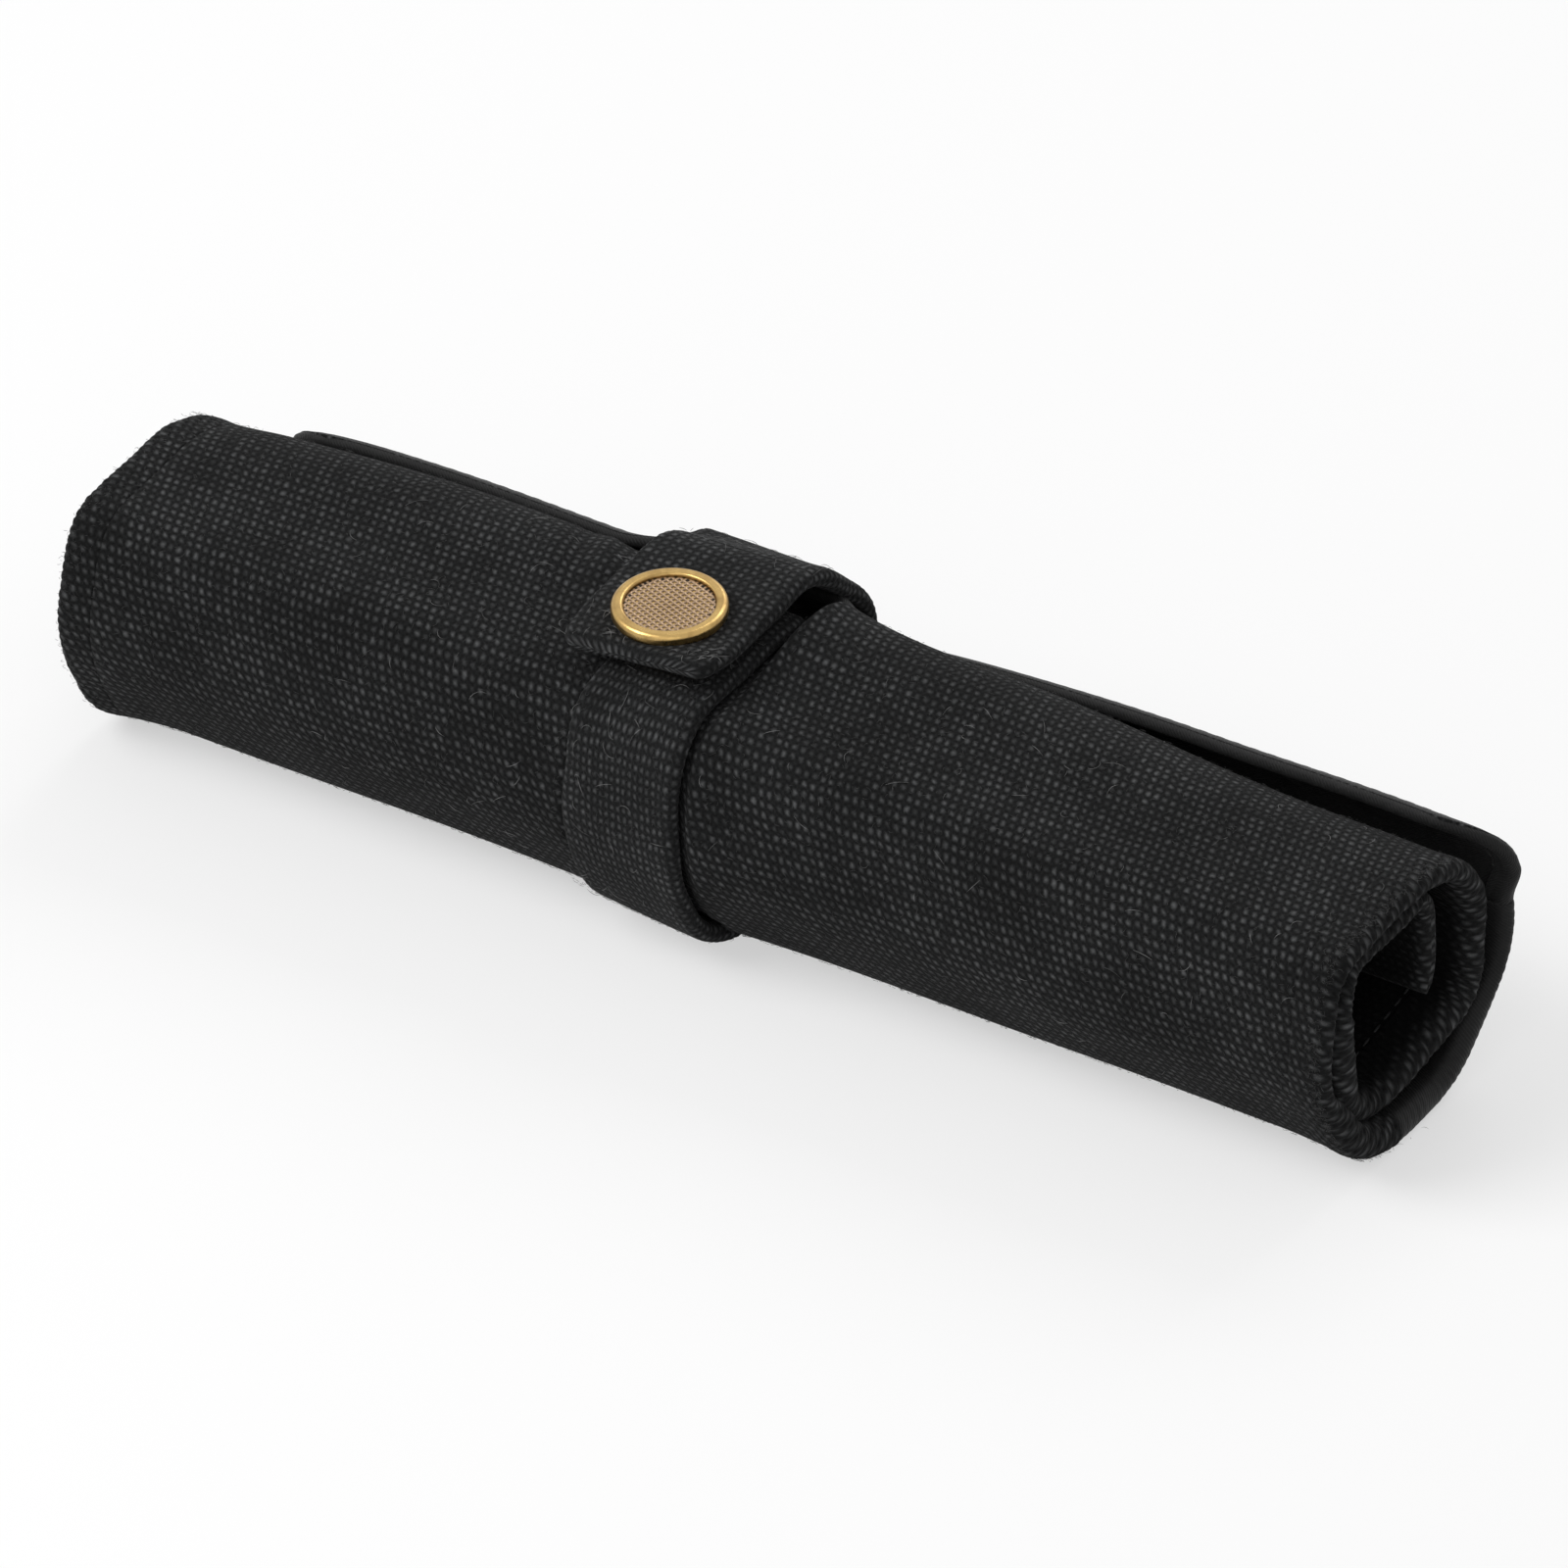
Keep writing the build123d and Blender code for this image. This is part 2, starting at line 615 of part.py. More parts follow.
def snap_stud():
    """The stud: a flange and a hollow head that the socket closes over."""
    bore = POST_RADIUS + FIT
    flare = POST_FLARE_RADIUS + FIT
    return turned([
        (bore, PLY_GAP), (STUD_FLANGE_RADIUS, PLY_GAP), (STUD_FLANGE_RADIUS, FLANGE_TOP),
        (STUD_NECK_RADIUS, FLANGE_TOP), (STUD_NECK_RADIUS, STUD_NECK_HEIGHT),
        (STUD_HEAD_RADIUS, STUD_HEAD_LOW), (STUD_HEAD_RADIUS, STUD_HEAD_HIGH),
        (STUD_NECK_RADIUS, STUD_HEIGHT), (0, STUD_HEIGHT), (0, STUD_CAVITY_TOP),
        (flare, STUD_CAVITY_TOP), (flare, STUD_FLARE_LOW - FIT), (bore, STUD_FLARE_LOW - FIT),
    ])


def stud_post():
    """The eyelet that clamps the stud to the strap base, rolled over inside the head."""
    low = -STRAP_THICK
    return turned([
        (POST_BORE, low), (POST_FLANGE_RADIUS, low), (POST_FLANGE_RADIUS, low + POST_FLANGE),
        (POST_RADIUS, low + POST_FLANGE), (POST_RADIUS, STUD_FLARE_LOW),
        (POST_FLARE_RADIUS, STUD_FLARE_LOW), (POST_FLARE_RADIUS, STUD_FLARE_LOW + POST_FLARE),
        (POST_BORE, STUD_FLARE_LOW + POST_FLARE),
    ])


def snap_socket():
    """The socket: a cup that takes the stud's head, with a groove for the spring."""
    groove = SOCKET_BORE + 2 * SPRING_WIRE + FIT
    groove_low = SPRING_HEIGHT - SPRING_WIRE - FIT
    groove_high = SPRING_HEIGHT + SPRING_WIRE + FIT
    return turned([
        (SOCKET_BORE, SOCKET_LOW), (SOCKET_RADIUS, SOCKET_LOW), (SOCKET_RADIUS, SOCKET_TOP),
        (POST_RADIUS + FIT, SOCKET_TOP), (POST_RADIUS + FIT, SOCKET_CEILING),
        (SOCKET_BORE, SOCKET_CEILING), (SOCKET_BORE, groove_high), (groove, groove_high),
        (groove, groove_low), (SOCKET_BORE, groove_low),
    ])


def socket_spring():
    """The open ring of wire in the socket's groove, drawn as wide as when the head passes it."""
    wire = Plane.XZ * Pos(SOCKET_BORE + SPRING_WIRE, SPRING_HEIGHT) * Circle(SPRING_WIRE)
    return SNAP * revolve(wire, Axis.Z, revolution_arc=360 - SPRING_OPENING)


def cap_post():
    """The rivet under the cap, through the tab and rolled over under the socket's ceiling."""
    high = CAP_FLOOR - CAP_WALL - FIT
    return turned([
        (POST_BORE, CAP_FLARE_LOW), (POST_FLARE_RADIUS, CAP_FLARE_LOW),
        (POST_FLARE_RADIUS, CAP_FLARE_LOW + POST_FLARE), (POST_RADIUS, CAP_FLARE_LOW + POST_FLARE),
        (POST_RADIUS, high - POST_FLANGE), (POST_FLANGE_RADIUS, high - POST_FLANGE),
        (POST_FLANGE_RADIUS, high), (POST_BORE, high),
    ])


def snap_cap():
    """The cap's shell: a rounded rim round a sunk floor, hollow underneath."""
    outline = make_face(Polyline(
        (0, CAP_FLOOR - CAP_WALL), (CAP_CAVITY - CAP_WALL, CAP_FLOOR - CAP_WALL),
        (CAP_CAVITY - CAP_WALL, CAP_LOW), (CAP_RADIUS, CAP_LOW), (CAP_RADIUS, CAP_TOP),
        (CAP_CAVITY, CAP_TOP), (CAP_CAVITY, CAP_FLOOR), (0, CAP_FLOOR), close=True))
    rim = outline.vertices().filter_by(lambda corner: corner.X > CAP_RADIUS - FIT)
    outline = fillet(rim, CAP_ROUND)
    lip = outline.vertices().filter_by(
        lambda corner: abs(corner.X - CAP_CAVITY) < FIT and corner.Y > MESH_TOP)
    outline = fillet(lip, CAP_LIP_ROUND)
    return SNAP * revolve(Plane.XZ * outline, Axis.Z)


def cap_mesh():
    return disc(CAP_CAVITY - FIT, CAP_FLOOR + FIT, MESH_TOP)


# ---- the parts ------------------------------------------------------------------------------------
PIECES = {
    "outer_canvas": outer_canvas(),
    "padding": padding(),
    "lining": lining(),
    "pocket_band": pocket_band(),
    "near_hem": hem(PLY_END + PLY_GAP, ROLL_END),
    "far_hem": hem(-ROLL_END, -PLY_END - PLY_GAP),
    "hem_seams": hem_seams(),
    "pocket_seams": pocket_seams(),
    "flap_canvas": flap_ply(0, CANVAS),
    "flap_lining": flap_ply(THIN_LINING_DEPTH, THIN_THICK),
    "flap_edge": flap_edge(),
    "flap_seam": flap_seam(),
    "inner_end_canvas": tongue_ply(0, CANVAS),
    "inner_end_lining": tongue_ply(THIN_LINING_DEPTH, THIN_THICK),
    "inner_end_hem": inner_end_hem(),
    "strap_base": strap_base(),
    "base_tack": tack(PLAIN.base_end),
    "base_stiffener": stiffener(BASE_STIFFENER_LOW),
    "strap_back": strap_ply([PLAIN.flap_straight, PLAIN.flap_turn]),
    "back_tack": tack(PLAIN.flap_straight),
    "strap_loop": strap_ply(LOOP_STEPS),
    "strap_tab": strap_tab(),
    "tab_stiffener": stiffener(TAB_STIFFENER_LOW),
    "snap_stud": snap_stud(),
    "stud_post": stud_post(),
    "snap_socket": snap_socket(),
    "socket_spring": socket_spring(),
    "cap_post": cap_post(),
    "snap_cap": snap_cap(),
    "cap_mesh": cap_mesh(),
}

os.makedirs("parts", exist_ok=True)
for name, piece in PIECES.items():
    export_step(piece, f"parts/{name}.step")
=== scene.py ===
import math

import bpy
import numpy as np
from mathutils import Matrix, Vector

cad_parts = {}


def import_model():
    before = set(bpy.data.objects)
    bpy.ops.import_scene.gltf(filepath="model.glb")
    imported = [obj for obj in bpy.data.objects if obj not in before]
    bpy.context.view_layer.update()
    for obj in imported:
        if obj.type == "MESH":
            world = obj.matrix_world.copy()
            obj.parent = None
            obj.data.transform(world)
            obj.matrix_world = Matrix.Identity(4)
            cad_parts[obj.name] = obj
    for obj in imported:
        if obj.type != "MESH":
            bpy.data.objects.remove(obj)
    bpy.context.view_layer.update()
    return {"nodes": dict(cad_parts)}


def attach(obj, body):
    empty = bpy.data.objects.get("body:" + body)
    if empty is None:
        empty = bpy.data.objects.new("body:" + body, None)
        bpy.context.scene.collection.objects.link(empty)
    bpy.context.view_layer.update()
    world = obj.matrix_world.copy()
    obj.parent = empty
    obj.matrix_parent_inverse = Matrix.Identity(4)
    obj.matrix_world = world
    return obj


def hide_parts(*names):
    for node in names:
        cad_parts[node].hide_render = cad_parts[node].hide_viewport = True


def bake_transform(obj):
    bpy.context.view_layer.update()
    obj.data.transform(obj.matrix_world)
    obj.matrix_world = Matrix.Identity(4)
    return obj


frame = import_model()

# Sizes in millimetres. A section is drawn in (forward, up), with up counted from the middle of the roll.
MM = 0.001
MIDDLE = 22.1
ROLL_END = 107.5
SHEET_THICK = 3.1
PLY = 1.2
STRAP_X = -14.0
STRAP_HALF = 12.5
STRAP_THICK = 2.8
FLAP_FAR = -98.0
FLAP_NEAR = 109.3
FLAP_CORNER = 12.5
STITCH_STEP = 2.9

# The press stud stands on the strap's base at this point of the section, and leans forward by this much.
SNAP_POINT = np.array([7.8, 19.721])
SNAP_BASE = 2.85
SNAP_TILT = 4

# How far apart the weave's crowns lie, across the cloth and along it, and the ribs of a folded edge.
CANVAS_YARNS = (1.41, 1.53)
STRAP_YARNS = (1.37, 1.34)
RIB = CANVAS_YARNS[1]
STRAP_RIB = STRAP_YARNS[1]

# The stamped mesh of the cap: how far apart its bars lie, and their slant.
MESH_PITCH = 0.85
MESH_SLANT = math.radians(20)


# ---- lines in the section
def unit(degrees):
    """(cos, sin) of headings: 0 is forward, 90 is up."""
    turned = np.radians(degrees)
    return np.stack([np.cos(turned), np.sin(turned)], axis=-1)


def normed(vectors, spare=0.0):
    """The same directions, each of length 1. spare keeps a direction of no length from dividing by 0."""
    return vectors / (np.linalg.norm(vectors, axis=-1)[..., None] + spare)


def counted(moves, step=0.45):
    """How many points each move gets: its length over the step. An arc's length is radius times turn."""
    lengths = [m[0] if len(m) == 1 else m[0] * math.radians(m[1]) for m in moves]
    return [max(1, round(length / step)) for length in lengths]


def traced(start, heading, moves, counts, side=1):
    """Points along moves in turn: (length,) is a line and (radius, turn) an arc.

    An arc's points are its centre less the radius times the inward direction, turned evenly.
    """
    at = np.array(start, float)
    runs = [at[None]]
    for move, count in zip(moves, counts):
        share = np.linspace(0, 1, count + 1)[1:]
        if len(move) == 1:
            run = at + share[:, None] * move[0] * unit(heading)
        else:
            inwards = heading + 90 * side
            centre = at + move[0] * unit(inwards)
            run = centre - move[0] * unit(inwards + side * move[1] * share)
            heading += side * move[1]
        runs.append(run)
        at = run[-1]
    return np.concatenate(runs)


def eased(points, spread=3):
    """Each point as the bell-weighted mean of its neighbours along the line, with the ends kept."""
    reach = 3 * spread
    weights = np.exp(-0.5 * (np.arange(-reach, reach + 1) / spread) ** 2)
    weights /= weights.sum()
    before = 2 * points[0] - points[reach:0:-1]
    after = 2 * points[-1] - points[-2:-reach - 2:-1]
    longer = np.concatenate([before, points, after])
    return np.stack([np.convolve(longer[:, k], weights, "valid") for k in (0, 1)], axis=1)


def measured(line):
    """The length along a line at each of its points."""
    return np.concatenate([[0], np.cumsum(np.hypot(*np.diff(line, axis=0).T))])


class Run:
    """A line of cloth in the section, with its length and the side that faces the core."""

    def __init__(self, points, side=1, along=None):
        own = measured(points)
        ahead = normed(np.gradient(points, own, axis=0))
        self.points, self.inward = points, side * np.stack([-ahead[:, 1], ahead[:, 0]], axis=1)
        self.along = own if along is None else along
        self.length = self.along[-1]

    def at(self, where):
        """The points and the inward directions at these lengths along the line."""
        def read(values):
            return np.stack([np.interp(where, self.along, values[:, k]) for k in (0, 1)], axis=-1)
        return read(self.points), normed(read(self.inward))


def between(first, second, along, share):
    """The point and the inward direction a share of the way from one line to another."""
    point, inward = first.at(along)
    other, other_inward = second.at(along)
    share = share[..., None]
    return point + (other - point) * share, normed(inward + (other_inward - inward) * share)


def ramp(share):
    """0 before 0, 1 after 1, and 3 t^2 - 2 t^3 between them."""
    t = np.clip(share, 0, 1)
    return t * t * (3 - 2 * t)


def bell(value, middle, width):
    """1 at the middle and exp(-1) one width from it."""
    return np.exp(-((value - middle) / width) ** 2)


def placed(section, x):
    """Points in the row frame, in metres, from (forward, up) and x in millimetres."""
    x = np.broadcast_to(x, section.shape[:-1])
    return np.stack([x, -section[..., 0], section[..., 1] + MIDDLE], axis=-1) * MM


def on_floor(cloth):
    """The same points, with none below the floor."""
    cloth[..., 2] = np.maximum(cloth[..., 2], 0)
    return cloth


# The rolled sheet starts at the flap's hinge and goes down the back, under, up the front, over the top and
# round once more inside. The dented line is the same, pressed flatter under the strap.
HINGE = (-25.47, 3.9)
REST = [(22.0, 40), (6.02,), (8.2, 76), (15.3,), (24.0, 22), (24.0, 12), (13.5, 60),
        (6.96,), (10.0, 76), (16.8,), (11.5, 92), (8.0,), (15.0, 16), (2.83,), (8.0, 82), (15.13,),
        (5.0, 38), (5.0, 54), (7.4,), (11.0, 36)]
PLAIN_MOVES = [(2.09,), (21.5, 46), (6.5,), (14.0, 44), (9.404,), (17.0, 60), (6.0,)] + REST
DENT_MOVES = [(2.09,), (21.5, 46), (2.397,), (14.0, 44), (14.0,), (17.0, 60), (2.709,)] + REST
COUNTS = counted(PLAIN_MOVES)
ROLL = Run(eased(traced(HINGE, 270, PLAIN_MOVES, COUNTS)))
DENTED = Run(eased(traced(HINGE, 270, DENT_MOVES, COUNTS)), along=ROLL.along)
STARTS = ROLL.along[np.cumsum([0] + COUNTS)]  # where each move starts along the roll
BACK_BEND = STARTS[1]
FLOOR_START, FLOOR_END = STARTS[4], STARTS[5]
FOOT_END = STARTS[6]
FRONT = (STARTS[7] + STARTS[8]) / 2
BASE_END = STARTS[12]
RIDGE = STARTS[13]
POCKET_START, POCKET_END = STARTS[14], STARTS[20]
INNER_FLOOR_END = STARTS[17]
INNER_FRONT = STARTS[19]
INNER_TOP = STARTS[21]
TONGUE_START = STARTS[24] - 2.0
TONGUE_HINGE = STARTS[24] + 0.4


def leaving_hinge(moves):
    """The points of a line that goes up from the hinge and bends forwards over the roll."""
    return traced(HINGE, 90, moves, counted(moves), -1)


FLAP = Run(eased(leaving_hinge([(3.0,), (15.0, 12), (15.0, 30), (4.7,)])), side=-1)
LEANING = Run(eased(leaving_hinge([(3.0,), (12.6, 71.4)])), side=-1)

# The strap starts under the tab and goes down the front, under, up the back and over the flap.
STRAP_OVER = leaving_hinge([(3.0,), (15.0, 12), (0.4,), (17.0, 34), (6.63,), (8.0, 48), (27.93,)])
STRAP_UNDER = DENTED.points[DENTED.along <= BASE_END + 0.01][::-1]
STRAP = Run(eased(np.concatenate([STRAP_UNDER[:-1], STRAP_OVER])), side=-1)
STRAP_HINGE = STRAP.along[len(STRAP_UNDER) - 1]
STRAP_END = STRAP.length


def strap_sides(along):
    """The strap's far and near edges. Down the front the far one is drawn in and the near one let out."""
    drawn_in = ramp((along - 2) / 16) * (1 - ramp((along - 70) / 18))
    let_out = ramp((along - 38) / 12) * (1 - ramp((along - 80) / 12))
    return STRAP_X - STRAP_HALF + 6.0 * drawn_in, STRAP_X + STRAP_HALF + 0.8 * let_out


def strap_gap(along, x):
    """How far x lies outside the strap's edges at these places along the roll, below 0 under the strap."""
    far, near = strap_sides(BASE_END - along)
    return np.maximum(x - near, far - x)


def swell(along, x):
    """How far the sheet stands out from its plain line, in millimetres. full is the ridge at the top, a
    bell along the roll times a bell round it. crowd is the cloth that rises beside the strap and dies away
    over 14. tucked draws in the low front, waves and pucker are slow and fine sines, and sunk is the dent
    under the strap. All but the dent stop at the strap's edges, and nothing moves at the roll's ends or in
    its inner turns.
    """
    gap = strap_gap(along, x)
    near_side = x > STRAP_X
    clear = ramp((gap - np.where(near_side, 0.3, -0.6)) / 1.8)
    full = (3.2 * bell(x, -50, 40) + 2.5 * bell(x, 34, 42)) * bell(along, RIDGE, 20)
    crowd_near = 1.6 * bell(along, FRONT + 8, 22) + 4.4 * bell(along, RIDGE - 2, 14)
    crowd_far = 0.9 * bell(along, FRONT + 2, 17)
    crowd = np.exp(-np.clip(gap, 0, None) / 14) * np.where(near_side, crowd_near, crowd_far)
    tucked = -0.9 * bell(along, FOOT_END - 3, 14)
    waves = 0.2 * np.sin(x / 17 + along / 21) + 0.14 * np.sin(x / 9.5 - along / 13 + 1.3)
    off_floor = ramp((along - FLOOR_END - 4) / 10) + 1 - ramp((along - BACK_BEND) / 8)
    pucker = 0.55 * bell(along, RIDGE - 6, 9) * bell(x, -37, 7) * np.sin((x + along * 0.5) / 1.35)
    sunk = -1.1 * (1 - ramp((gap + 1.2) / 1.5)) * bell(along, FRONT, 22)
    outer = 1 - ramp((along - RIDGE) / 11)
    inside = ramp(along / 8) * ramp((ROLL_END - np.abs(x)) / 14)
    return outer * inside * (clear * (full + crowd + tucked + waves * off_floor + pucker) + sunk)


def on_roll(along, x, depth):
    """A point of the rolled sheet: its plain line, or the dented line where the strap passes, moved
    inwards by depth and outwards by the swell, and flattened where it rests on the floor.
    """
    along, x, depth = np.broadcast_arrays(along, x, depth)
    pressed = 1 - ramp((strap_gap(along, x) - np.where(x > STRAP_X, 0.3, -0.8)) / 2.2)
    point, inward = between(ROLL, DENTED, along, pressed)
    return on_floor(placed(point + inward * (depth - swell(along, x))[..., None], x))


def on_flap(along, x, depth):
    """A point of the flap: its line under the strap, or beside it a line that leans further over the roll,
    moved inwards by depth and by a wave. The wave grows from the hinge to 14 above it: a step down
    past x 20, a bell at the far end and one at x 5, and two slow sines.
    """
    along, x, depth = np.broadcast_arrays(along, x, depth)
    gap = np.abs(x - STRAP_X) - STRAP_HALF
    beside = np.where(x > STRAP_X, ramp((gap + 1.5) / 6), ramp((gap - 0.5) / 13))
    point, inward = between(FLAP, LEANING, along, beside)
    settled = 0.55 - 0.8 * ramp((x - 20) / 40) + 2.6 * bell(x, -104, 12) + 1.3 * bell(x, 5, 12)
    wave = beside * ramp(along / 14) * (settled + 0.25 * np.sin(x / 19 + 0.6) + 0.15 * np.sin(x / 8.3))
    return placed(point + inward * (depth + wave)[..., None], x)


def on_strap(along, x, depth):
    """A point of the strap: its own line, moved inwards by depth, and flattened on the floor."""
    along, x, depth = np.broadcast_arrays(along, x, depth)
    point, inward = STRAP.at(along)
    return on_floor(placed(point + inward * depth[..., None], x))


# ---- meshes
def shaped(name, points, faces, smooth=None):
    """A mesh of these points, in metres, and faces. The first faces, as many as smooth says, or all of
    them, are shaded smooth.
    """
    mesh = bpy.data.meshes.new(name)
    mesh.from_pydata(points.reshape(-1, 3).tolist(), [], faces)
    last_smooth = len(faces) if smooth is None else smooth
    mesh.polygons.foreach_set("use_smooth", np.arange(len(faces)) < last_smooth)
    mesh.update()
    return linked(name, mesh)


def linked(name, data):
    """A new object of the scene that shows this mesh, lamp or camera."""
    made = bpy.data.objects.new(name, data)
    bpy.context.scene.collection.objects.link(made)
    return made


def meshed(name, points, cloth, closed=False, flip=False):
    """A mesh over a grid of points. closed joins the grid's second way in a ring and caps the two end
    rings. cloth holds, for each grid point, where it lies on the flat cloth in millimetres.
    """
    rows, columns = points.shape[:2]
    first = np.arange(rows - 1)[:, None] * columns
    spans = columns if closed else columns - 1
    here = np.arange(spans)
    there = (here + 1) % columns
    quads = np.stack([first + here, first + columns + here, first + columns + there, first + there], -1)
    corners = np.stack([cloth[:-1, :spans], cloth[1:, :spans], cloth[1:, 1:spans + 1],
                        cloth[:-1, 1:spans + 1]], axis=2)
    quads, corners = quads.reshape(-1, 4), corners.reshape(-1, 4, 2)
    if flip:
        quads, corners = quads[:, ::-1], corners[:, ::-1]
    faces, uv = quads.tolist(), [corners.reshape(-1, 2)]
    if closed:
        low, high = np.arange(columns), (rows - 1) * columns + np.arange(columns)
        ends = [low[::-1], high] if flip else [low, high[::-1]]
        flat = points.reshape(-1, 3)
        for end in ends:
            faces.append(end.tolist())
            uv.append(flat[end][:, [0, 2]] / MM)
    made = shaped(name, points, faces, len(quads))
    layer = made.data.uv_layers.new(name="cloth")
    layer.data.foreach_set("uv", np.concatenate(uv).astype(np.float32).ravel())
    return made


def cloth_grid(along, over):
    """Where each grid point lies on the flat cloth: over it, and along it."""
    return np.stack(np.broadcast_arrays(over, along[:, None]), axis=-1)


def tube_faces(count, rings, around):
    """The faces of that many closed tubes, one after another, each with these rings of points around."""
    base = (np.arange(count) * rings * around)[:, None, None]
    ring, place = np.arange(rings - 1)[:, None] * around, np.arange(around)
    after = (place + 1) % around
    quads = np.stack([ring + place, ring + after, ring + around + after, ring + around + place], -1)
    low = base[:, 0] + np.arange(around)[::-1]
    high = base[:, 0] + (rings - 1) * around + np.arange(around)
    return (base[..., None] + quads[None]).reshape(-1, 4).tolist() + low.tolist() + high.tolist()


def thickened(piece, thick):
    """Gives a face of cloth its thickness, inwards from the face."""
    wall = piece.modifiers.new("ply", "SOLIDIFY")
    wall.thickness = thick * MM
    wall.offset = -1
    wall.use_even_offset = True
    return piece


def spaced(start, end, step):
    """Places from start to end, both among them, about a step apart."""
    return np.linspace(start, end, max(2, round(abs(end - start) / step) + 1))


def row_of_stitches(name, place, marks, length=1.9, width=0.42, height=0.3):
    """Stitches along a curve. place gives points and outward directions at the marks. At each is an
    ellipsoid of 5 rings of 8: the point, plus length / 2 cos b ahead, plus width / 2 sin b cos a aside,
    plus height / 2 sin b sin a outwards.
    """
    points, out = place(marks)
    ahead = normed(place(marks + 0.05)[0] - place(marks - 0.05)[0])
    out = normed(out - (out * ahead).sum(axis=1)[:, None] * ahead)
    aside = np.cross(out, ahead)
    a = np.linspace(0, 2 * np.pi, 8, endpoint=False)
    b = np.linspace(0.25, np.pi - 0.25, 5)[:, None]
    forward = (length / 2 * np.cos(b) + 0 * a)[None, ..., None] * ahead[:, None, None]
    sideways = (width / 2 * np.sin(b) * np.cos(a))[None, ..., None] * aside[:, None, None]
    upwards = (height / 2 * np.sin(b) * np.sin(a))[None, ..., None] * out[:, None, None]
    grid = points[:, None, None] + (forward + sideways + upwards) * MM
    return shaped(name, grid, tube_faces(len(points), len(b), len(a)))


def joined(name, pieces):
    """Several meshes as one piece."""
    with bpy.context.temp_override(active_object=pieces[0], selected_editable_objects=pieces,
                                   selected_objects=pieces, object=pieces[0]):
        bpy.ops.object.join()
    pieces[0].name = name
    return pieces[0]


# ---- finishes
class Value:
    """A number in a material that takes Python's arithmetic."""

    def __init__(self, finish, socket):
        self.finish, self.socket = finish, socket

    def math(self, operation, *others):
        """A Math node of this value, then the others."""
        inputs = {0: self, **{place + 1: other for place, other in enumerate(others)}}
        return self.finish.node("ShaderNodeMath", {"operation": operation}, inputs)

    def turned(self, operation, other):
        """A Math node of the other number, then this value."""
        return self.finish.node("ShaderNodeMath", {"operation": operation}, {0: other, 1: self})

    def __add__(self, other):
        return self.math("ADD", other)

    __radd__ = __add__

    def __sub__(self, other):
        return self.math("SUBTRACT", other)

    def __rsub__(self, other):
        return self.turned("SUBTRACT", other)

    def __mul__(self, other):
        return self.math("MULTIPLY", other)

    __rmul__ = __mul__

    def __truediv__(self, other):
        return self.math("DIVIDE", other)

    def __rtruediv__(self, other):
        return self.turned("DIVIDE", other)

    def __pow__(self, other):
        return self.math("POWER", other)

    def __rpow__(self, other):
        return self.turned("POWER", other)

    def __abs__(self):
        return self.math("ABSOLUTE")

    def sine(self):
        return self.math("SINE")

    def cosine(self):
        return self.math("COSINE")

    def floor(self):
        return self.math("FLOOR")

    def ramped(self, low, high, to_low=0.0, to_high=1.0):
        """Smoothly from one value to another as this one goes from low to high."""
        return self.finish.node("ShaderNodeMapRange", {"interpolation_type": "SMOOTHSTEP"}, {
            "Value": self, "From Min": low, "From Max": high, "To Min": to_low, "To Max": to_high})


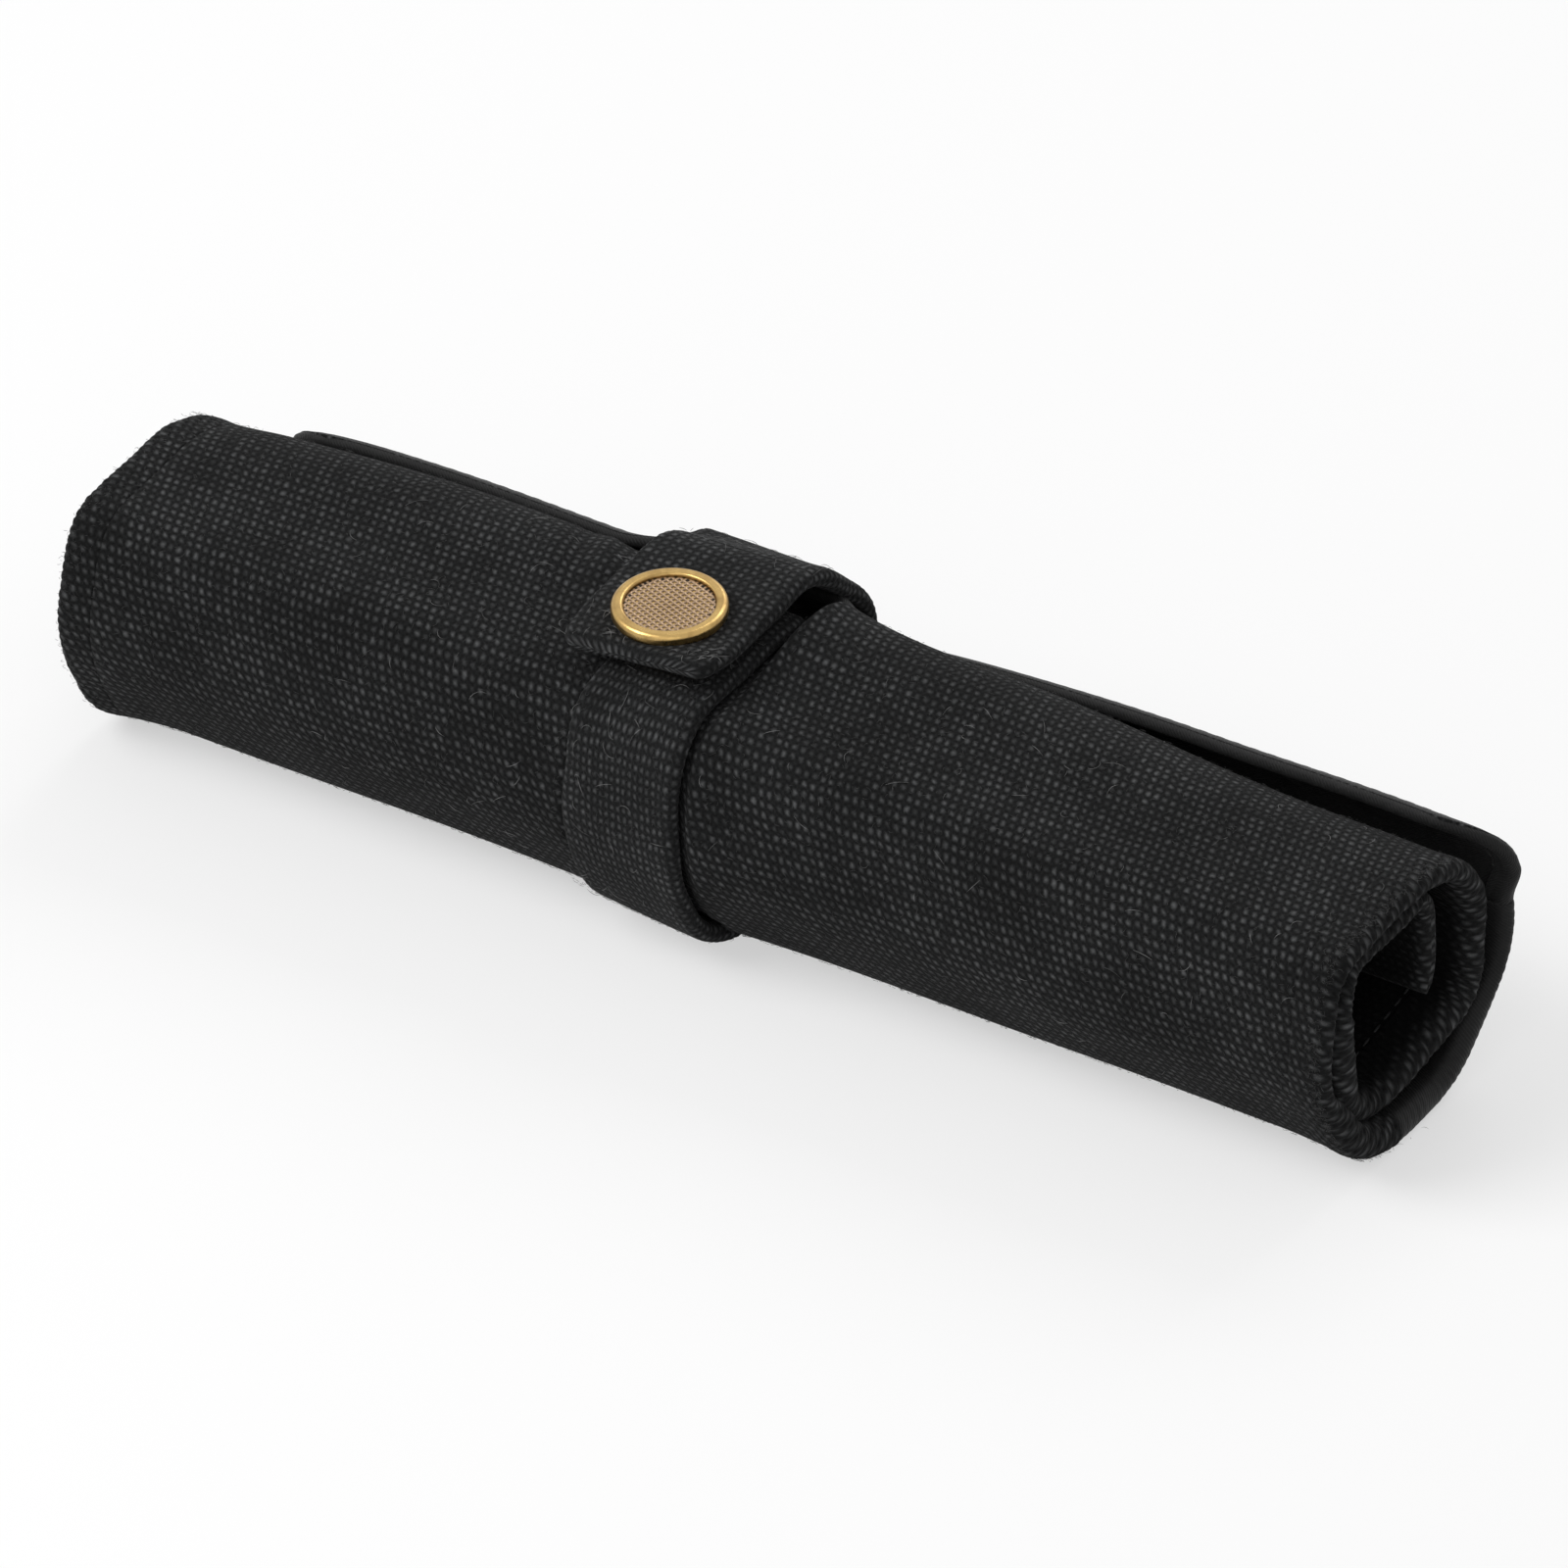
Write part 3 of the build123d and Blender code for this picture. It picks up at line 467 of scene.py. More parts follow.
class Finish:
    """A material, or the world, built of nodes."""

    def __init__(self, name, world=None):
        self.owner = world or bpy.data.materials.new(name)
        self.owner.use_nodes = True
        self.tree = self.owner.node_tree
        self.tree.nodes.clear()

    def node(self, kind, settings=None, inputs=None, output=0):
        """A node of that kind, with its settings made first, then the values or links of its sockets."""
        made = self.tree.nodes.new(kind)
        for key, value in (settings or {}).items():
            setattr(made, key, value)
        for key, value in (inputs or {}).items():
            if isinstance(value, Value):
                self.tree.links.new(value.socket, made.inputs[key])
            else:
                made.inputs[key].default_value = value
        return Value(self, made.outputs[output]) if made.outputs else None

    def where(self):
        """The place on the object."""
        return self.node("ShaderNodeTexCoord", output=3)

    def cloth(self):
        """The place on the flat cloth, in millimetres."""
        return self.node("ShaderNodeUVMap", {"uv_map": "cloth"})

    def seen(self):
        """1 to the camera, to reflections and through glass, and 0 to other light."""
        path = self.node("ShaderNodeLightPath").socket.node.outputs
        rays = ("Is Camera Ray", "Is Glossy Ray", "Is Transmission Ray")
        return sum(Value(self, path[ray]) for ray in rays)

    def split(self, vector, count=2):
        """The first numbers of a vector."""
        made = self.node("ShaderNodeSeparateXYZ", None, {0: vector})
        return [Value(self, socket) for socket in made.socket.node.outputs][:count]

    def vector(self, x, y, z=0.0):
        return self.node("ShaderNodeCombineXYZ", None, {0: x, 1: y, 2: z})

    def noise(self, where, scale, detail, rough=0.5):
        return self.node("ShaderNodeTexNoise", None, {
            "Vector": where, "Scale": scale, "Detail": detail, "Roughness": rough})

    def blend(self, share, low, high):
        """A colour between two colours."""
        mixed = self.node("ShaderNodeMix", {"data_type": "RGBA"}, {0: share, 6: low, 7: high})
        return Value(self, mixed.socket.node.outputs[2])

    def bumped(self, height, depth):
        """A normal from a height of 0 to 1 that stands for that depth in millimetres."""
        return self.node("ShaderNodeBump", None, {
            "Height": height, "Distance": depth * MM, "Strength": 1.0})

    def depth_shadow(self):
        """1 outside the roll and at its ends, and nearly 0 inside its second turn, which an ellipse in the
        section marks out: the light that gets in falls off within a few millimetres of the ends.
        """
        x, y, z = self.split(self.where(), 3)
        inner = ((y + 0.001) / 0.0208) ** 2.0 + ((z - 0.0226) / 0.017) ** 2.0
        return 1 - inner.ramped(1.32, 1.12) * abs(x).ramped(0.1064, 0.103) * 0.93

    def surfaced(self, **inputs):
        """Ends the material in a Principled surface with these sockets."""
        named = {key.replace("_", " "): value for key, value in inputs.items()}
        surface = self.node("ShaderNodeBsdfPrincipled", None, named)
        self.node("ShaderNodeOutputMaterial", None, {"Surface": surface})
        return self.owner


def grey(value, warmth=0.0):
    """A grey, with its red raised and its blue lowered by the warmth."""
    return (value * (1 + warmth), value, value * (1 - warmth), 1.0)


def canvas_finish(name, yarns, slant, low, high, hazy=1.0):
    """Heavy plain-weave canvas. a counts the repeats across the flat cloth, which drift by slant for each
    one along, and b those along it, and both wander a little. The yarn that rises makes a crown once in
    each repeat, a power of 0.5 + 0.5 cos 2 pi a times one of 0.5 + 0.5 cos 2 pi b, and the yarn that
    crosses it a lower and darker one half a repeat away. The colour paints the crowns lighter, a painted
    highlight where light catches the raised yarn. It paints the lower yarn and the pit round it darker,
    a painted shade, and depth_shadow adds painted shade inside the roll. Each crown has its own
    brightness, and loose fibres and lint blur them.
    """
    finish = Finish(name)
    cloth = finish.cloth()
    u, v = finish.split(cloth)
    wander = finish.noise(cloth, 0.5, 2.0) - 0.5
    drift = finish.noise(cloth, 0.13, 1.0) - 0.5
    a = (u + v * slant) / yarns[0] + wander * 0.6 + drift * 0.35
    b = v / yarns[1] + wander * 0.6 - drift * 0.6
    ridge_a = (a * (2 * math.pi)).cosine() * 0.5 + 0.5
    ridge_b = (b * (2 * math.pi)).cosine() * 0.5 + 0.5
    over = ridge_a ** 0.9 * ridge_b ** 0.95
    under = (1 - ridge_a) * (1 - ridge_b)
    cell = finish.vector((a + 0.5).floor(), (b + 0.5).floor())
    own = finish.node("ShaderNodeTexWhiteNoise", {"noise_dimensions": "2D"}, {"Vector": cell})
    fibres = finish.noise(cloth, 2.6, 4.0, 0.75)
    worn = finish.noise(cloth, 0.06, 3.0).ramped(0.3, 0.7, 0.75, 1.25)
    lint = finish.noise(cloth, 1.9, 4.0, 0.85).ramped(0.62, 0.74) * (0.4 * hazy)
    # painted highlight: the raised crowns lighter, each with its own random brightness, and the lower
    # crossing yarn a dimmer painted highlight
    crowns = over ** 1.3 * (0.22 + own * 0.68) + under ** 2.0 * 0.1
    shade = (crowns * (0.35 + fibres * 1.3) + fibres ** 3.0 * (0.5 * hazy) + lint) * worn
    # painted shade: darker in the pit round the lower yarn, and darker inside the roll by depth_shadow
    shade = shade * (1 - under * 0.35) * finish.depth_shadow()
    colour = finish.blend(shade.math("MINIMUM", 1.0), low, high)
    height = over * (0.7 + own * 0.5) + under * 0.3 + fibres * 0.5
    return finish.surfaced(Base_Color=colour, Roughness=0.95 - over * 0.12,
                           Normal=finish.bumped(height, 0.3), Sheen_Weight=0.03 * hazy,
                           Sheen_Roughness=0.35, Sheen_Tint=grey(0.8), Specular_IOR_Level=0.06)


def lining_finish():
    """Smooth close-woven lining: a fine twill line, soft creases and a slight sheen."""
    finish = Finish("black_lining")
    cloth = finish.cloth()
    u, v = finish.split(cloth)
    twill = ((u + v) * (math.pi / 0.28)).sine() * 0.5 + 0.5
    crease = finish.noise(cloth, 0.22, 3.0, 0.55)
    fine = finish.noise(cloth, 5.0, 2.0)
    shade = twill * 0.35 + fine * 0.35 + crease * 0.3
    colour = finish.blend(shade * finish.depth_shadow(), grey(0.002), grey(0.015))
    normal = finish.bumped(twill * 0.12 + crease * 1.6, 0.35)
    return finish.surfaced(Base_Color=colour, Roughness=0.5 + fine * 0.2, Normal=normal,
                           Sheen_Weight=0.03, Specular_IOR_Level=0.15)


def lint_finish():
    """Loose cotton fibres, paler where they are thin."""
    finish = Finish("pale_lint")
    patches = finish.noise(finish.where(), 400.0, 1.0)
    colour = finish.blend(patches.ramped(0.35, 0.65), grey(0.06), grey(0.2))
    return finish.surfaced(Base_Color=colour, Roughness=0.9 - patches * 0.1, Specular_IOR_Level=0.2)


def grained_finish(name, scale, detail, low, high, rough, rougher, depth, sharp=0.5, metallic=0.0):
    """A plain grey with a fine grain. A noise picks the shade between low and high, adds up to rougher to
    the roughness and raises the grain by depth.
    """
    finish = Finish(name)
    grain = finish.noise(finish.where(), scale, detail, sharp)
    roughness = rough + grain * rougher if rougher else rough
    return finish.surfaced(Base_Color=finish.blend(grain, grey(low), grey(high)), Metallic=metallic,
                           Roughness=roughness, Normal=finish.bumped(grain, depth))


def thread_finish():
    """Twisted black thread: fine plies that run slanted round it."""
    finish = Finish("black_thread")
    x, y, z = finish.split(finish.where(), 3)
    twist = ((x + y * 0.8 + z * 0.8) * (2 * math.pi / 0.0005)).sine() * 0.5 + 0.5
    colour = finish.blend(twist * finish.depth_shadow(), grey(0.003), grey(0.035))
    return finish.surfaced(Base_Color=colour, Roughness=0.6, Normal=finish.bumped(twist, 0.08))


def brass_finish(name, bright, dark, rough, tarnish):
    """Antique brass: tarnish in cloudy patches and fine spots, rubbed bright between them."""
    finish = Finish(name)
    where = finish.where()
    clouds = finish.noise(where, 260.0, 4.0, 0.6)
    spots = finish.noise(where, 2600.0, 3.0, 0.6)
    share = clouds.ramped(0.35, 0.75) * tarnish + spots.ramped(0.55, 0.75) * 0.25
    colour = finish.blend(share, bright, dark)
    return finish.surfaced(Base_Color=colour, Metallic=1.0, Roughness=rough + share * 0.25,
                           Normal=finish.bumped(spots, 0.02))


def mesh_finish():
    """The stamped mesh: pale rubbed bars with dark tarnish in the pits between them. The bars are the
    higher of |cos| of the two directions at a slant over the disc, as in its shape.
    """
    finish = Finish("mesh_brass")
    u, v = finish.split(finish.cloth())
    p = (u * math.cos(MESH_SLANT) + v * math.sin(MESH_SLANT)) * (math.pi / MESH_PITCH)
    q = (v * math.cos(MESH_SLANT) - u * math.sin(MESH_SLANT)) * (math.pi / MESH_PITCH)
    bars = abs(p.cosine()).math("MAXIMUM", abs(q.cosine()))
    spots = finish.noise(finish.where(), 1800.0, 3.0, 0.6)
    colour = finish.blend((bars ** 3.0 * 1.1 + spots * 0.3 - 0.2).ramped(0.1, 1.0),
                          (0.012, 0.008, 0.005, 1), (0.36, 0.25, 0.16, 1))
    return finish.surfaced(Base_Color=colour, Metallic=0.75, Roughness=0.55 - bars * 0.15,
                           Normal=finish.bumped(spots, 0.02))


CANVAS = canvas_finish("black_canvas", CANVAS_YARNS, 0.33, grey(0.003), grey(0.08, -0.02))
STRAP_CANVAS = canvas_finish("black_strap_canvas", STRAP_YARNS, 0.1, grey(0.0032), grey(0.085, -0.02),
                             hazy=1.6)
LINT = lint_finish()
LINING = lining_finish()
FELT = grained_finish("grey_felt", 2600.0, 4.0, 0.03, 0.09, rough=0.95, rougher=0, depth=0.3, sharp=0.75)
THREAD = thread_finish()
WASHER = grained_finish("washer_board", 1500.0, 3.0, 0.03, 0.06, rough=0.6, rougher=0.2, depth=0.05)
PLAIN_BRASS = brass_finish("plain_brass", (0.55, 0.4, 0.17, 1), (0.2, 0.13, 0.05, 1), 0.3, 0.5)
CAP_BRASS = brass_finish("cap_brass", (0.52, 0.35, 0.13, 1), (0.23, 0.14, 0.05, 1), 0.25, 0.7)
MESH_BRASS = mesh_finish()
SPRING_WIRE = grained_finish("spring_wire", 1800.0, 2.0, 0.42, 0.6, rough=0.3, rougher=0.15, depth=0.01,
                             metallic=1.0)


def finished(piece, material):
    """Gives the piece one finish all over."""
    if piece.material_slots:
        for place in piece.material_slots:
            place.material = material
    else:
        piece.data.materials.append(material)
    return piece


def kept(piece, rides, material, slot, *nodes):
    """Finishes a piece and hides the nodes it stands for. It rides on one body when rides is one name.
    When rides is two bodies' names and the (forward, up) points where a bend starts and ends, the piece
    is only fixed where it stands, on no body, and nothing makes it bend.
    """
    finished(piece, material)
    if isinstance(rides, str):
        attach(piece, rides)
    else:
        start, end = (tuple(placed(np.array(point, float), 0.0)) for point in rides[2:])
        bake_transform(piece)
    if nodes:
        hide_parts(*nodes)
    return piece


# ---- the rolled sheet
HEM_REACH = 6.0


def across_roll():
    """Places across the roll between the hems, closer together beside the strap."""
    low, high = -ROLL_END + HEM_REACH - 1, ROLL_END - HEM_REACH + 1
    runs = [spaced(low, -31, 1.8), spaced(-31, -18, 0.6), spaced(-18, -4, 1.8), spaced(-4, 6, 0.6),
            spaced(6, high, 1.8)]
    return np.unique(np.concatenate(runs))


def hem_thickness(along):
    """The hem's thickness round the roll: the sheet's, fuller under the roll and in the second turn."""
    under = ramp((along - BACK_BEND - 8) / 12) * (1 - ramp((along - FOOT_END) / 12))
    back = ramp((along - RIDGE) / 8) * (1 - ramp((along - POCKET_END) / 3))
    return SHEET_THICK + 1.8 * under + 1.35 * back + 0.9 * bell(along, INNER_FRONT, 14)


def recess(along):
    """How far the second turn's ends stand back from the roll's ends, in millimetres."""
    return 1.8 * bell(along, INNER_FLOOR_END + 7, 13) + 1.2 * ramp((along - INNER_TOP) / 12)


def hem(name, side, start, end, ribs, material, *nodes):
    """A folded hem: over the sheet's face, round its end in a half ellipse and back inside, carried along
    the roll. Its yarns stand out by ribs |sin(pi along / RIB)| ^ 0.7, each of its own size and fullest
    round the fold. The end stands back by the recess and sways in two slow sines.
    """
    along = spaced(start, end, 0.3)
    turn = np.linspace(0, np.pi, 13)[1:-1]
    round_deep = 2.2
    face = spaced(HEM_REACH, round_deep, 0.55)
    inner = spaced(round_deep, 7.5, 1.3)
    inset = np.concatenate([face, round_deep - round_deep * np.sin(turn), inner])
    share = np.concatenate([0 * face, 0.5 - 0.5 * np.cos(turn), 0 * inner + 1])
    level = 2 * share - 1
    fold = np.concatenate([ramp((HEM_REACH - face) / 3.6), 0 * turn + 1, 1 - ramp((inner - round_deep) / 4)])
    rib = np.abs(np.sin(np.pi * along / RIB)) ** 0.7
    pick = np.random.default_rng(7 if side > 0 else 8)
    size = pick.uniform(0.6, 1.25, int(end / RIB) + 3)[(along / RIB).astype(int)]
    lift = ribs * (rib * size)[:, None] * fold
    further = 0.8 if side < 0 else 0.5 * (1 - ramp(along / 45))
    sway = 0.18 * np.sin(along / 7.3 + side) + 0.12 * np.sin(along / 3.1)
    last = ROLL_END + further - recess(along) + sway
    x = side * (last[:, None] - inset + np.sqrt(np.clip(1 - level ** 2, 0, 1)) * lift)
    depth = share * hem_thickness(along)[:, None] + level * lift
    points = on_roll(along[:, None], x, depth - 0.02 * (1 - share))
    over = side * (ROLL_END - HEM_REACH + measured(np.stack([inset, share * SHEET_THICK], 1)))
    flat = np.abs(over[-1] - over[0]) * MM, (end - start) * MM
    # Past the fold the weave is drawn out, so that it turns the edge with fewer yarns.
    stretched = over - 0.4 * side * np.clip(np.abs(over) - np.abs(over[0]) - 4.0, 0, None)
    piece = thickened(meshed(name, points, cloth_grid(along, stretched), flip=side > 0), 0.9)
    kept(piece, "roll", material, "lining" if material is LINING else "canvas", *nodes)


def layer(name, start, end, x, depth, thick, material, slot, node, step=1.4, **resting):
    """A flat ply of the roll, with square ends at x. depth is read at each place along the roll."""
    along = spaced(start, end, step)
    points = on_roll(along[:, None], x, depth(along)[:, None])
    piece = thickened(meshed(name, points, cloth_grid(along, x), flip=True), thick)
    kept(piece, "roll", material, slot, node)
    (x[-1] - x[0]) * MM
    (end - start) * MM


def inner_rows(name, places, node):
    """Rows of stitches along the roll's inner face. places are (x, depth, start, end)."""
    rows = []
    for x, depth, start, end in places:
        def place(marks, x=x, depth=depth):
            inward = ROLL.at(marks)[1]
            out = np.stack([0 * marks, -inward[:, 0], inward[:, 1]], axis=1)
            return on_roll(marks, x, depth), out
        rows.append(row_of_stitches(name, place, np.arange(start + 2, end - 2, STITCH_STEP)))
    kept(joined(name, rows), "roll", THREAD, "thread", node)


layer("rolled_canvas", 0, TONGUE_START, across_roll(), lambda s: 0 * s, PLY, CANVAS, "canvas",
      "outer_canvas", step=1.35, rests_on=["padding"])
for near_or_far, side in (("near", 1), ("far", -1)):
    hem(near_or_far + "_back_edge", side, 0.0, FLOOR_END, 0.1, LINING)
    hem(near_or_far + "_hem", side, FLOOR_END, TONGUE_START, 0.26, CANVAS, near_or_far + "_hem")
layer("padding", 1.0, POCKET_END, spaced(-98.6, 98.6, 2.4), lambda s: 1.25 + 0 * s, 1.4, FELT, "padding",
      "padding")
layer("lining", 0.6, TONGUE_START, spaced(-101.0, 101.0, 2.4),
      lambda s: 2.72 - 1.45 * ramp((s - POCKET_END) / 4), 0.36, LINING, "lining", "lining")
layer("pocket_band", POCKET_START, POCKET_END, spaced(4.5 - ROLL_END, ROLL_END - 4.5, 2.4),
      lambda s: 3.15 + 0 * s, 1.05, CANVAS, "canvas", "pocket_band")
ON_LINING, ON_POCKETS = 3.1, 4.27
hem_rows = [(x, ON_LINING, 0, RIDGE) for x in (98.8, -98.8)]
hem_rows += [(x, ON_POCKETS, POCKET_START, POCKET_END) for x in (98.8, -98.8)]
inner_rows("hem_stitches", hem_rows, "hem_seams")
inner_rows("pocket_stitches", [(x, ON_POCKETS, POCKET_START, POCKET_END) for x in (-53.75, 0, 53.75)],
           "pocket_seams")


# ---- the loose inner end
def inner_end():
    """The loose inner end: the section's outline, thin over the bend and 3.9 thick at its wide fold,
    with a round tip, carried along the roll and drawn in to a round edge at both ends.
    """
    half_thick, edge = 1.95, 1.6
    face = spaced(TONGUE_START, ROLL.length - edge, 0.9)
    turn = np.linspace(0, np.pi, 13)[1:-1]
    back = face[::-1]
    along = np.concatenate([face, ROLL.length - edge + 1.7 * np.sin(turn), back])
    thick = SHEET_THICK + 0.8 * ramp((back - TONGUE_START - 3) / 4)
    depth = np.concatenate([0 * face, half_thick * (1 - np.cos(turn)), thick])
    middle = np.concatenate([0 * face + 1.5, 0 * turn + half_thick, thick / 2])
    inset = np.array([0, 0.06, 0.25, 0.6, 1.0, edge])
    end = ROLL_END - recess(TONGUE_START)
    x = np.concatenate([-end + inset, spaced(-end + 4, end - 4, 2.6), end - inset[::-1]])
    squeeze = 1 - np.sqrt(np.clip(1 - (1 - np.clip((end - np.abs(x)) / edge, 0, 1)) ** 2, 0.02, 1))
    points = on_roll(along, x[:, None], depth + (middle - depth) * squeeze[:, None])
    over = np.append(measured(np.stack([along, depth], 1)), 0)
    over[-1] = over[-2] + 3.0
    cloth = np.stack(np.broadcast_arrays(x[:, None], over), axis=-1)
    piece = meshed("inner_end", points, cloth, closed=True, flip=True)
    bend = ROLL.at(np.array([TONGUE_HINGE - 1.5, TONGUE_HINGE + 1.8]))[0]
    kept(piece, ("roll", "inner_end", *bend), CANVAS, "canvas", "inner_end_canvas", "inner_end_lining",
         "inner_end_hem")


inner_end()


# ---- the flap
FLAP_TOP = FLAP.length
FLAP_BEND = ("roll", "flap", (HINGE[0], 3.0), (HINGE[0], 6.4))


def flap_reach(along):
    """The flap's far and near edges: the roll's ends at the hinge, its own edges a little above it."""
    share = ramp(along / 6)
    near = ROLL_END + 0.5
    return -ROLL_END + (FLAP_FAR + ROLL_END) * share, near + (FLAP_NEAR - near) * share


def flap_ply(name, depth, thick, inset, material, slot):
    """A ply of the flap with quarter-round top corners, an inset in from the flap's edge and a depth
    below its face.
    """
    straight = FLAP_TOP - FLAP_CORNER
    turn = np.linspace(0, np.pi / 2, 12)[1:]
    along = np.concatenate([spaced(0, straight, 0.8), straight + (FLAP_CORNER - inset) * np.sin(turn)])
    over = np.clip(along - straight, 0, FLAP_CORNER - inset * 0.999)
    corner = FLAP_CORNER - np.sqrt(np.clip(FLAP_CORNER ** 2 - over ** 2, 0, None))
    far, near = flap_reach(along)
    far, near = (far + inset + corner)[:, None], (near - inset - corner)[:, None]
    x = far + (near - far) * np.linspace(0, 1, 110)
    points = on_flap(along[:, None], x, depth)
    cloth = np.stack([x, np.broadcast_to(-along[:, None], x.shape)], axis=-1)
    piece = thickened(meshed(name, points, cloth), thick)
    kept(piece, FLAP_BEND, material, slot, name)


def round_flap(inset):
    """A line round the flap's free edge, (x, along), a distance in from it, from the near end to the far."""
    radius, top = FLAP_CORNER - inset, FLAP_TOP - inset
    turn = np.linspace(0, np.pi / 2, 9)
    rise = np.linspace(0.0, top - radius, 16)[:-1]
    far, near = flap_reach(rise)
    last_far, last_near = FLAP_FAR + inset + radius, FLAP_NEAR - inset - radius
    over = np.linspace(last_near, last_far, 200)[1:-1]
    return np.concatenate([
        np.stack([near - inset, rise], 1),
        np.stack([last_near + radius * np.cos(turn), top - radius + radius * np.sin(turn)], 1),
        np.stack([over, 0 * over + top], 1),
        np.stack([last_far - radius * np.sin(turn), top - radius + radius * np.cos(turn)], 1),
        np.stack([far + inset, rise], 1)[::-1]])


def flap_binding():
    """The rolled double edge: a rounded outline with a groove along its inner face, carried round the
    flap's edge. Across it the outline is a superellipse of exponent 2.6, which fills out to the hem's
    thickness at the hinge.
    """
    outer, inner = round_flap(0.0), round_flap(4.4)
    around = np.linspace(0, 2 * np.pi, 30, endpoint=False)
    power = 2 / 2.6
    wide = 0.5 - 0.5 * np.sign(np.cos(around)) * np.abs(np.cos(around)) ** power
    deep = np.sign(np.sin(around)) * np.abs(np.sin(around)) ** power
    line = outer[:, None] + (inner - outer)[:, None] * wide[None, :, None]
    low = (1 - ramp(outer[:, 1] / 8))[:, None]
    groove = 0.4 * np.clip(deep, 0, 1) * bell(wide, 0.6, 0.12)
    depth = 0.95 + 0.6 * low + (1.05 + 0.5 * low) * deep - groove
    points = on_flap(line[..., 1], line[..., 0], depth)
    length = measured(outer)
    over = np.linspace(0, 9.0, len(around) + 1)
    piece = meshed("flap_binding", points, cloth_grid(length, over), closed=True, flip=True)
    kept(piece, FLAP_BEND, LINING, "lining", "flap_edge")


def flap_stitches():
    """A row of stitches round the flap's edge on each of its faces."""
    line = round_flap(4.2)
    length = measured(line)

    def place(marks, depth):
        x, along = (np.interp(marks, length, line[:, k]) for k in (0, 1))
        point = on_flap(along, x, depth)
        return point, on_flap(along, x, depth + 1) - point
    marks = np.arange(6, length[-1] - 6, STITCH_STEP)
    sides = [row_of_stitches("flap_stitches", lambda m, d=d: place(m, d), marks, height=0.14)
             for d in (1.68, 0.02)]
    kept(joined("flap_stitches", sides), "flap", THREAD, "thread", "flap_seam")


flap_ply("flap_canvas", 0.0, PLY, 0.7, CANVAS, "canvas")
flap_ply("flap_lining", 1.27, 0.36, 0.7, LINING, "lining")
flap_binding()
flap_stitches()


# ---- the strap
BACK_START = STRAP_HINGE - 8.0
LOOP_START = STRAP_HINGE + 4.8
LOOP_LIP = STRAP_HINGE + 18.6
TAB_START = STRAP_END - 28.9
TAB_HINGE = STRAP_END - 24.5
LOOP_HINGE = STRAP_HINGE + 3.0 + 15.0 * math.radians(12) + 0.2


def strap_press(along, across):
    """How far the strap sinks below its plain line, in millimetres, from its far side, across -0.5, to its
    near side, 0.5: tilted in at the far side down the front and over the loop, and sunk all across on
    the loop. It stands out at the near side low in front and at the tab's end. All come and go in ramps.
    """
    front = ramp((along - 26) / 14) * (1 - ramp((along - 84) / 12))
    low = ramp((along - 54) / 12) * (1 - ramp((along - 84) / 12))
    loop = ramp((along - LOOP_LIP) / 6) * (1 - ramp((along - TAB_START + 4) / 8))
    tip = ramp((along - STRAP_END + 10) / 10)
    tilt = 0.9 * front + 1.9 * loop
    lip = ramp((along - LOOP_START - 4) / 9) * (1 - ramp((along - TAB_START + 4) / 8))
    return tilt * (0.5 - across) + 0.8 * lip - low * 0.7 * (0.5 + across) - tip * (0.2 + 2.4 * across)


def strap_piece(name, start, end, rides, free=False):
    """A stretch of the strap: its outline carried along its line. The outline is a flat with round folds,
    crowned 0.15 between them, and its folds are ribbed, 0.16 |sin(pi along / STRAP_RIB)|. A free end has
    quarter-round corners and closes to a round edge, its half width and thickness following circles.
    """
    tip, corner_round = 2.6, 2.5
    tail = end - tip * (1 - np.sin(np.linspace(0, np.pi / 2, 14)))
    along = np.concatenate([spaced(start, end - tip, 0.36)[:-1], tail]) if free else spaced(start, end, 0.36)
    left = (end - along) if free else np.full_like(along, 99.0)
    short = np.clip(corner_round - left, 0, corner_round)
    corner = corner_round - np.sqrt(np.clip(corner_round ** 2 - short ** 2, 0, None))
    thin = np.sqrt(np.clip(1 - np.clip(1 - left / 1.3, 0, 1) ** 2, 0.01, 1))[:, None]
    far, near = strap_sides(along)
    middle, half_wide = (far + near)[:, None] / 2, (near - far)[:, None] / 2 - corner[:, None]
    half = STRAP_THICK / 2
    turn = np.linspace(-np.pi / 2, np.pi / 2, 9)[1:-1]
    flat = np.linspace(-1, 1, 19)
    crown = 0.15 * (1 - flat ** 4)
    flats = np.concatenate([flat, 0 * turn + 1, flat[::-1], 0 * turn - 1])
    folds = np.concatenate([0 * flat, np.cos(turn), 0 * flat, -np.cos(turn)])
    rise = np.concatenate([0 * flat - 1, np.sin(turn), 0 * flat + 1, -np.sin(turn)])
    crowns = np.concatenate([0 * flat, 0 * turn, crown, 0 * turn])
    rib = 0.16 * np.abs(np.sin(np.pi * along / STRAP_RIB))[:, None] * bell(np.abs(flats), 1, 0.14)
    wide = flats * (half_wide - half) + folds * (half + rib)
    across = wide / (2 * half_wide)
    wave = (0.16 * np.sin(along / 5.1) + 0.1 * np.sin(along / 2.3 + 1))[:, None] * 2 * across
    outwards = half + rise * (half + rib * 0.6) * thin + crowns * thin
    press = strap_press(along[:, None], across)
    points = on_strap(along[:, None], middle + wide + wave, press - outwards - 0.05)
    over = measured(np.stack([flats * (STRAP_HALF - half) + folds * half, rise * half], 1))
    over = np.append(over, over[-1] + 0.6)
    piece = meshed(name, points, cloth_grid(along, over), closed=True, flip=True)
    kept(piece, rides, STRAP_CANVAS, "strap_canvas", name)
    (end - start) * MM


def strap_bend(middle, before, after):
    """The points of the strap's line this far before and after a hinge on it."""
    return STRAP.at(np.array([middle - before, middle + after]))[0]


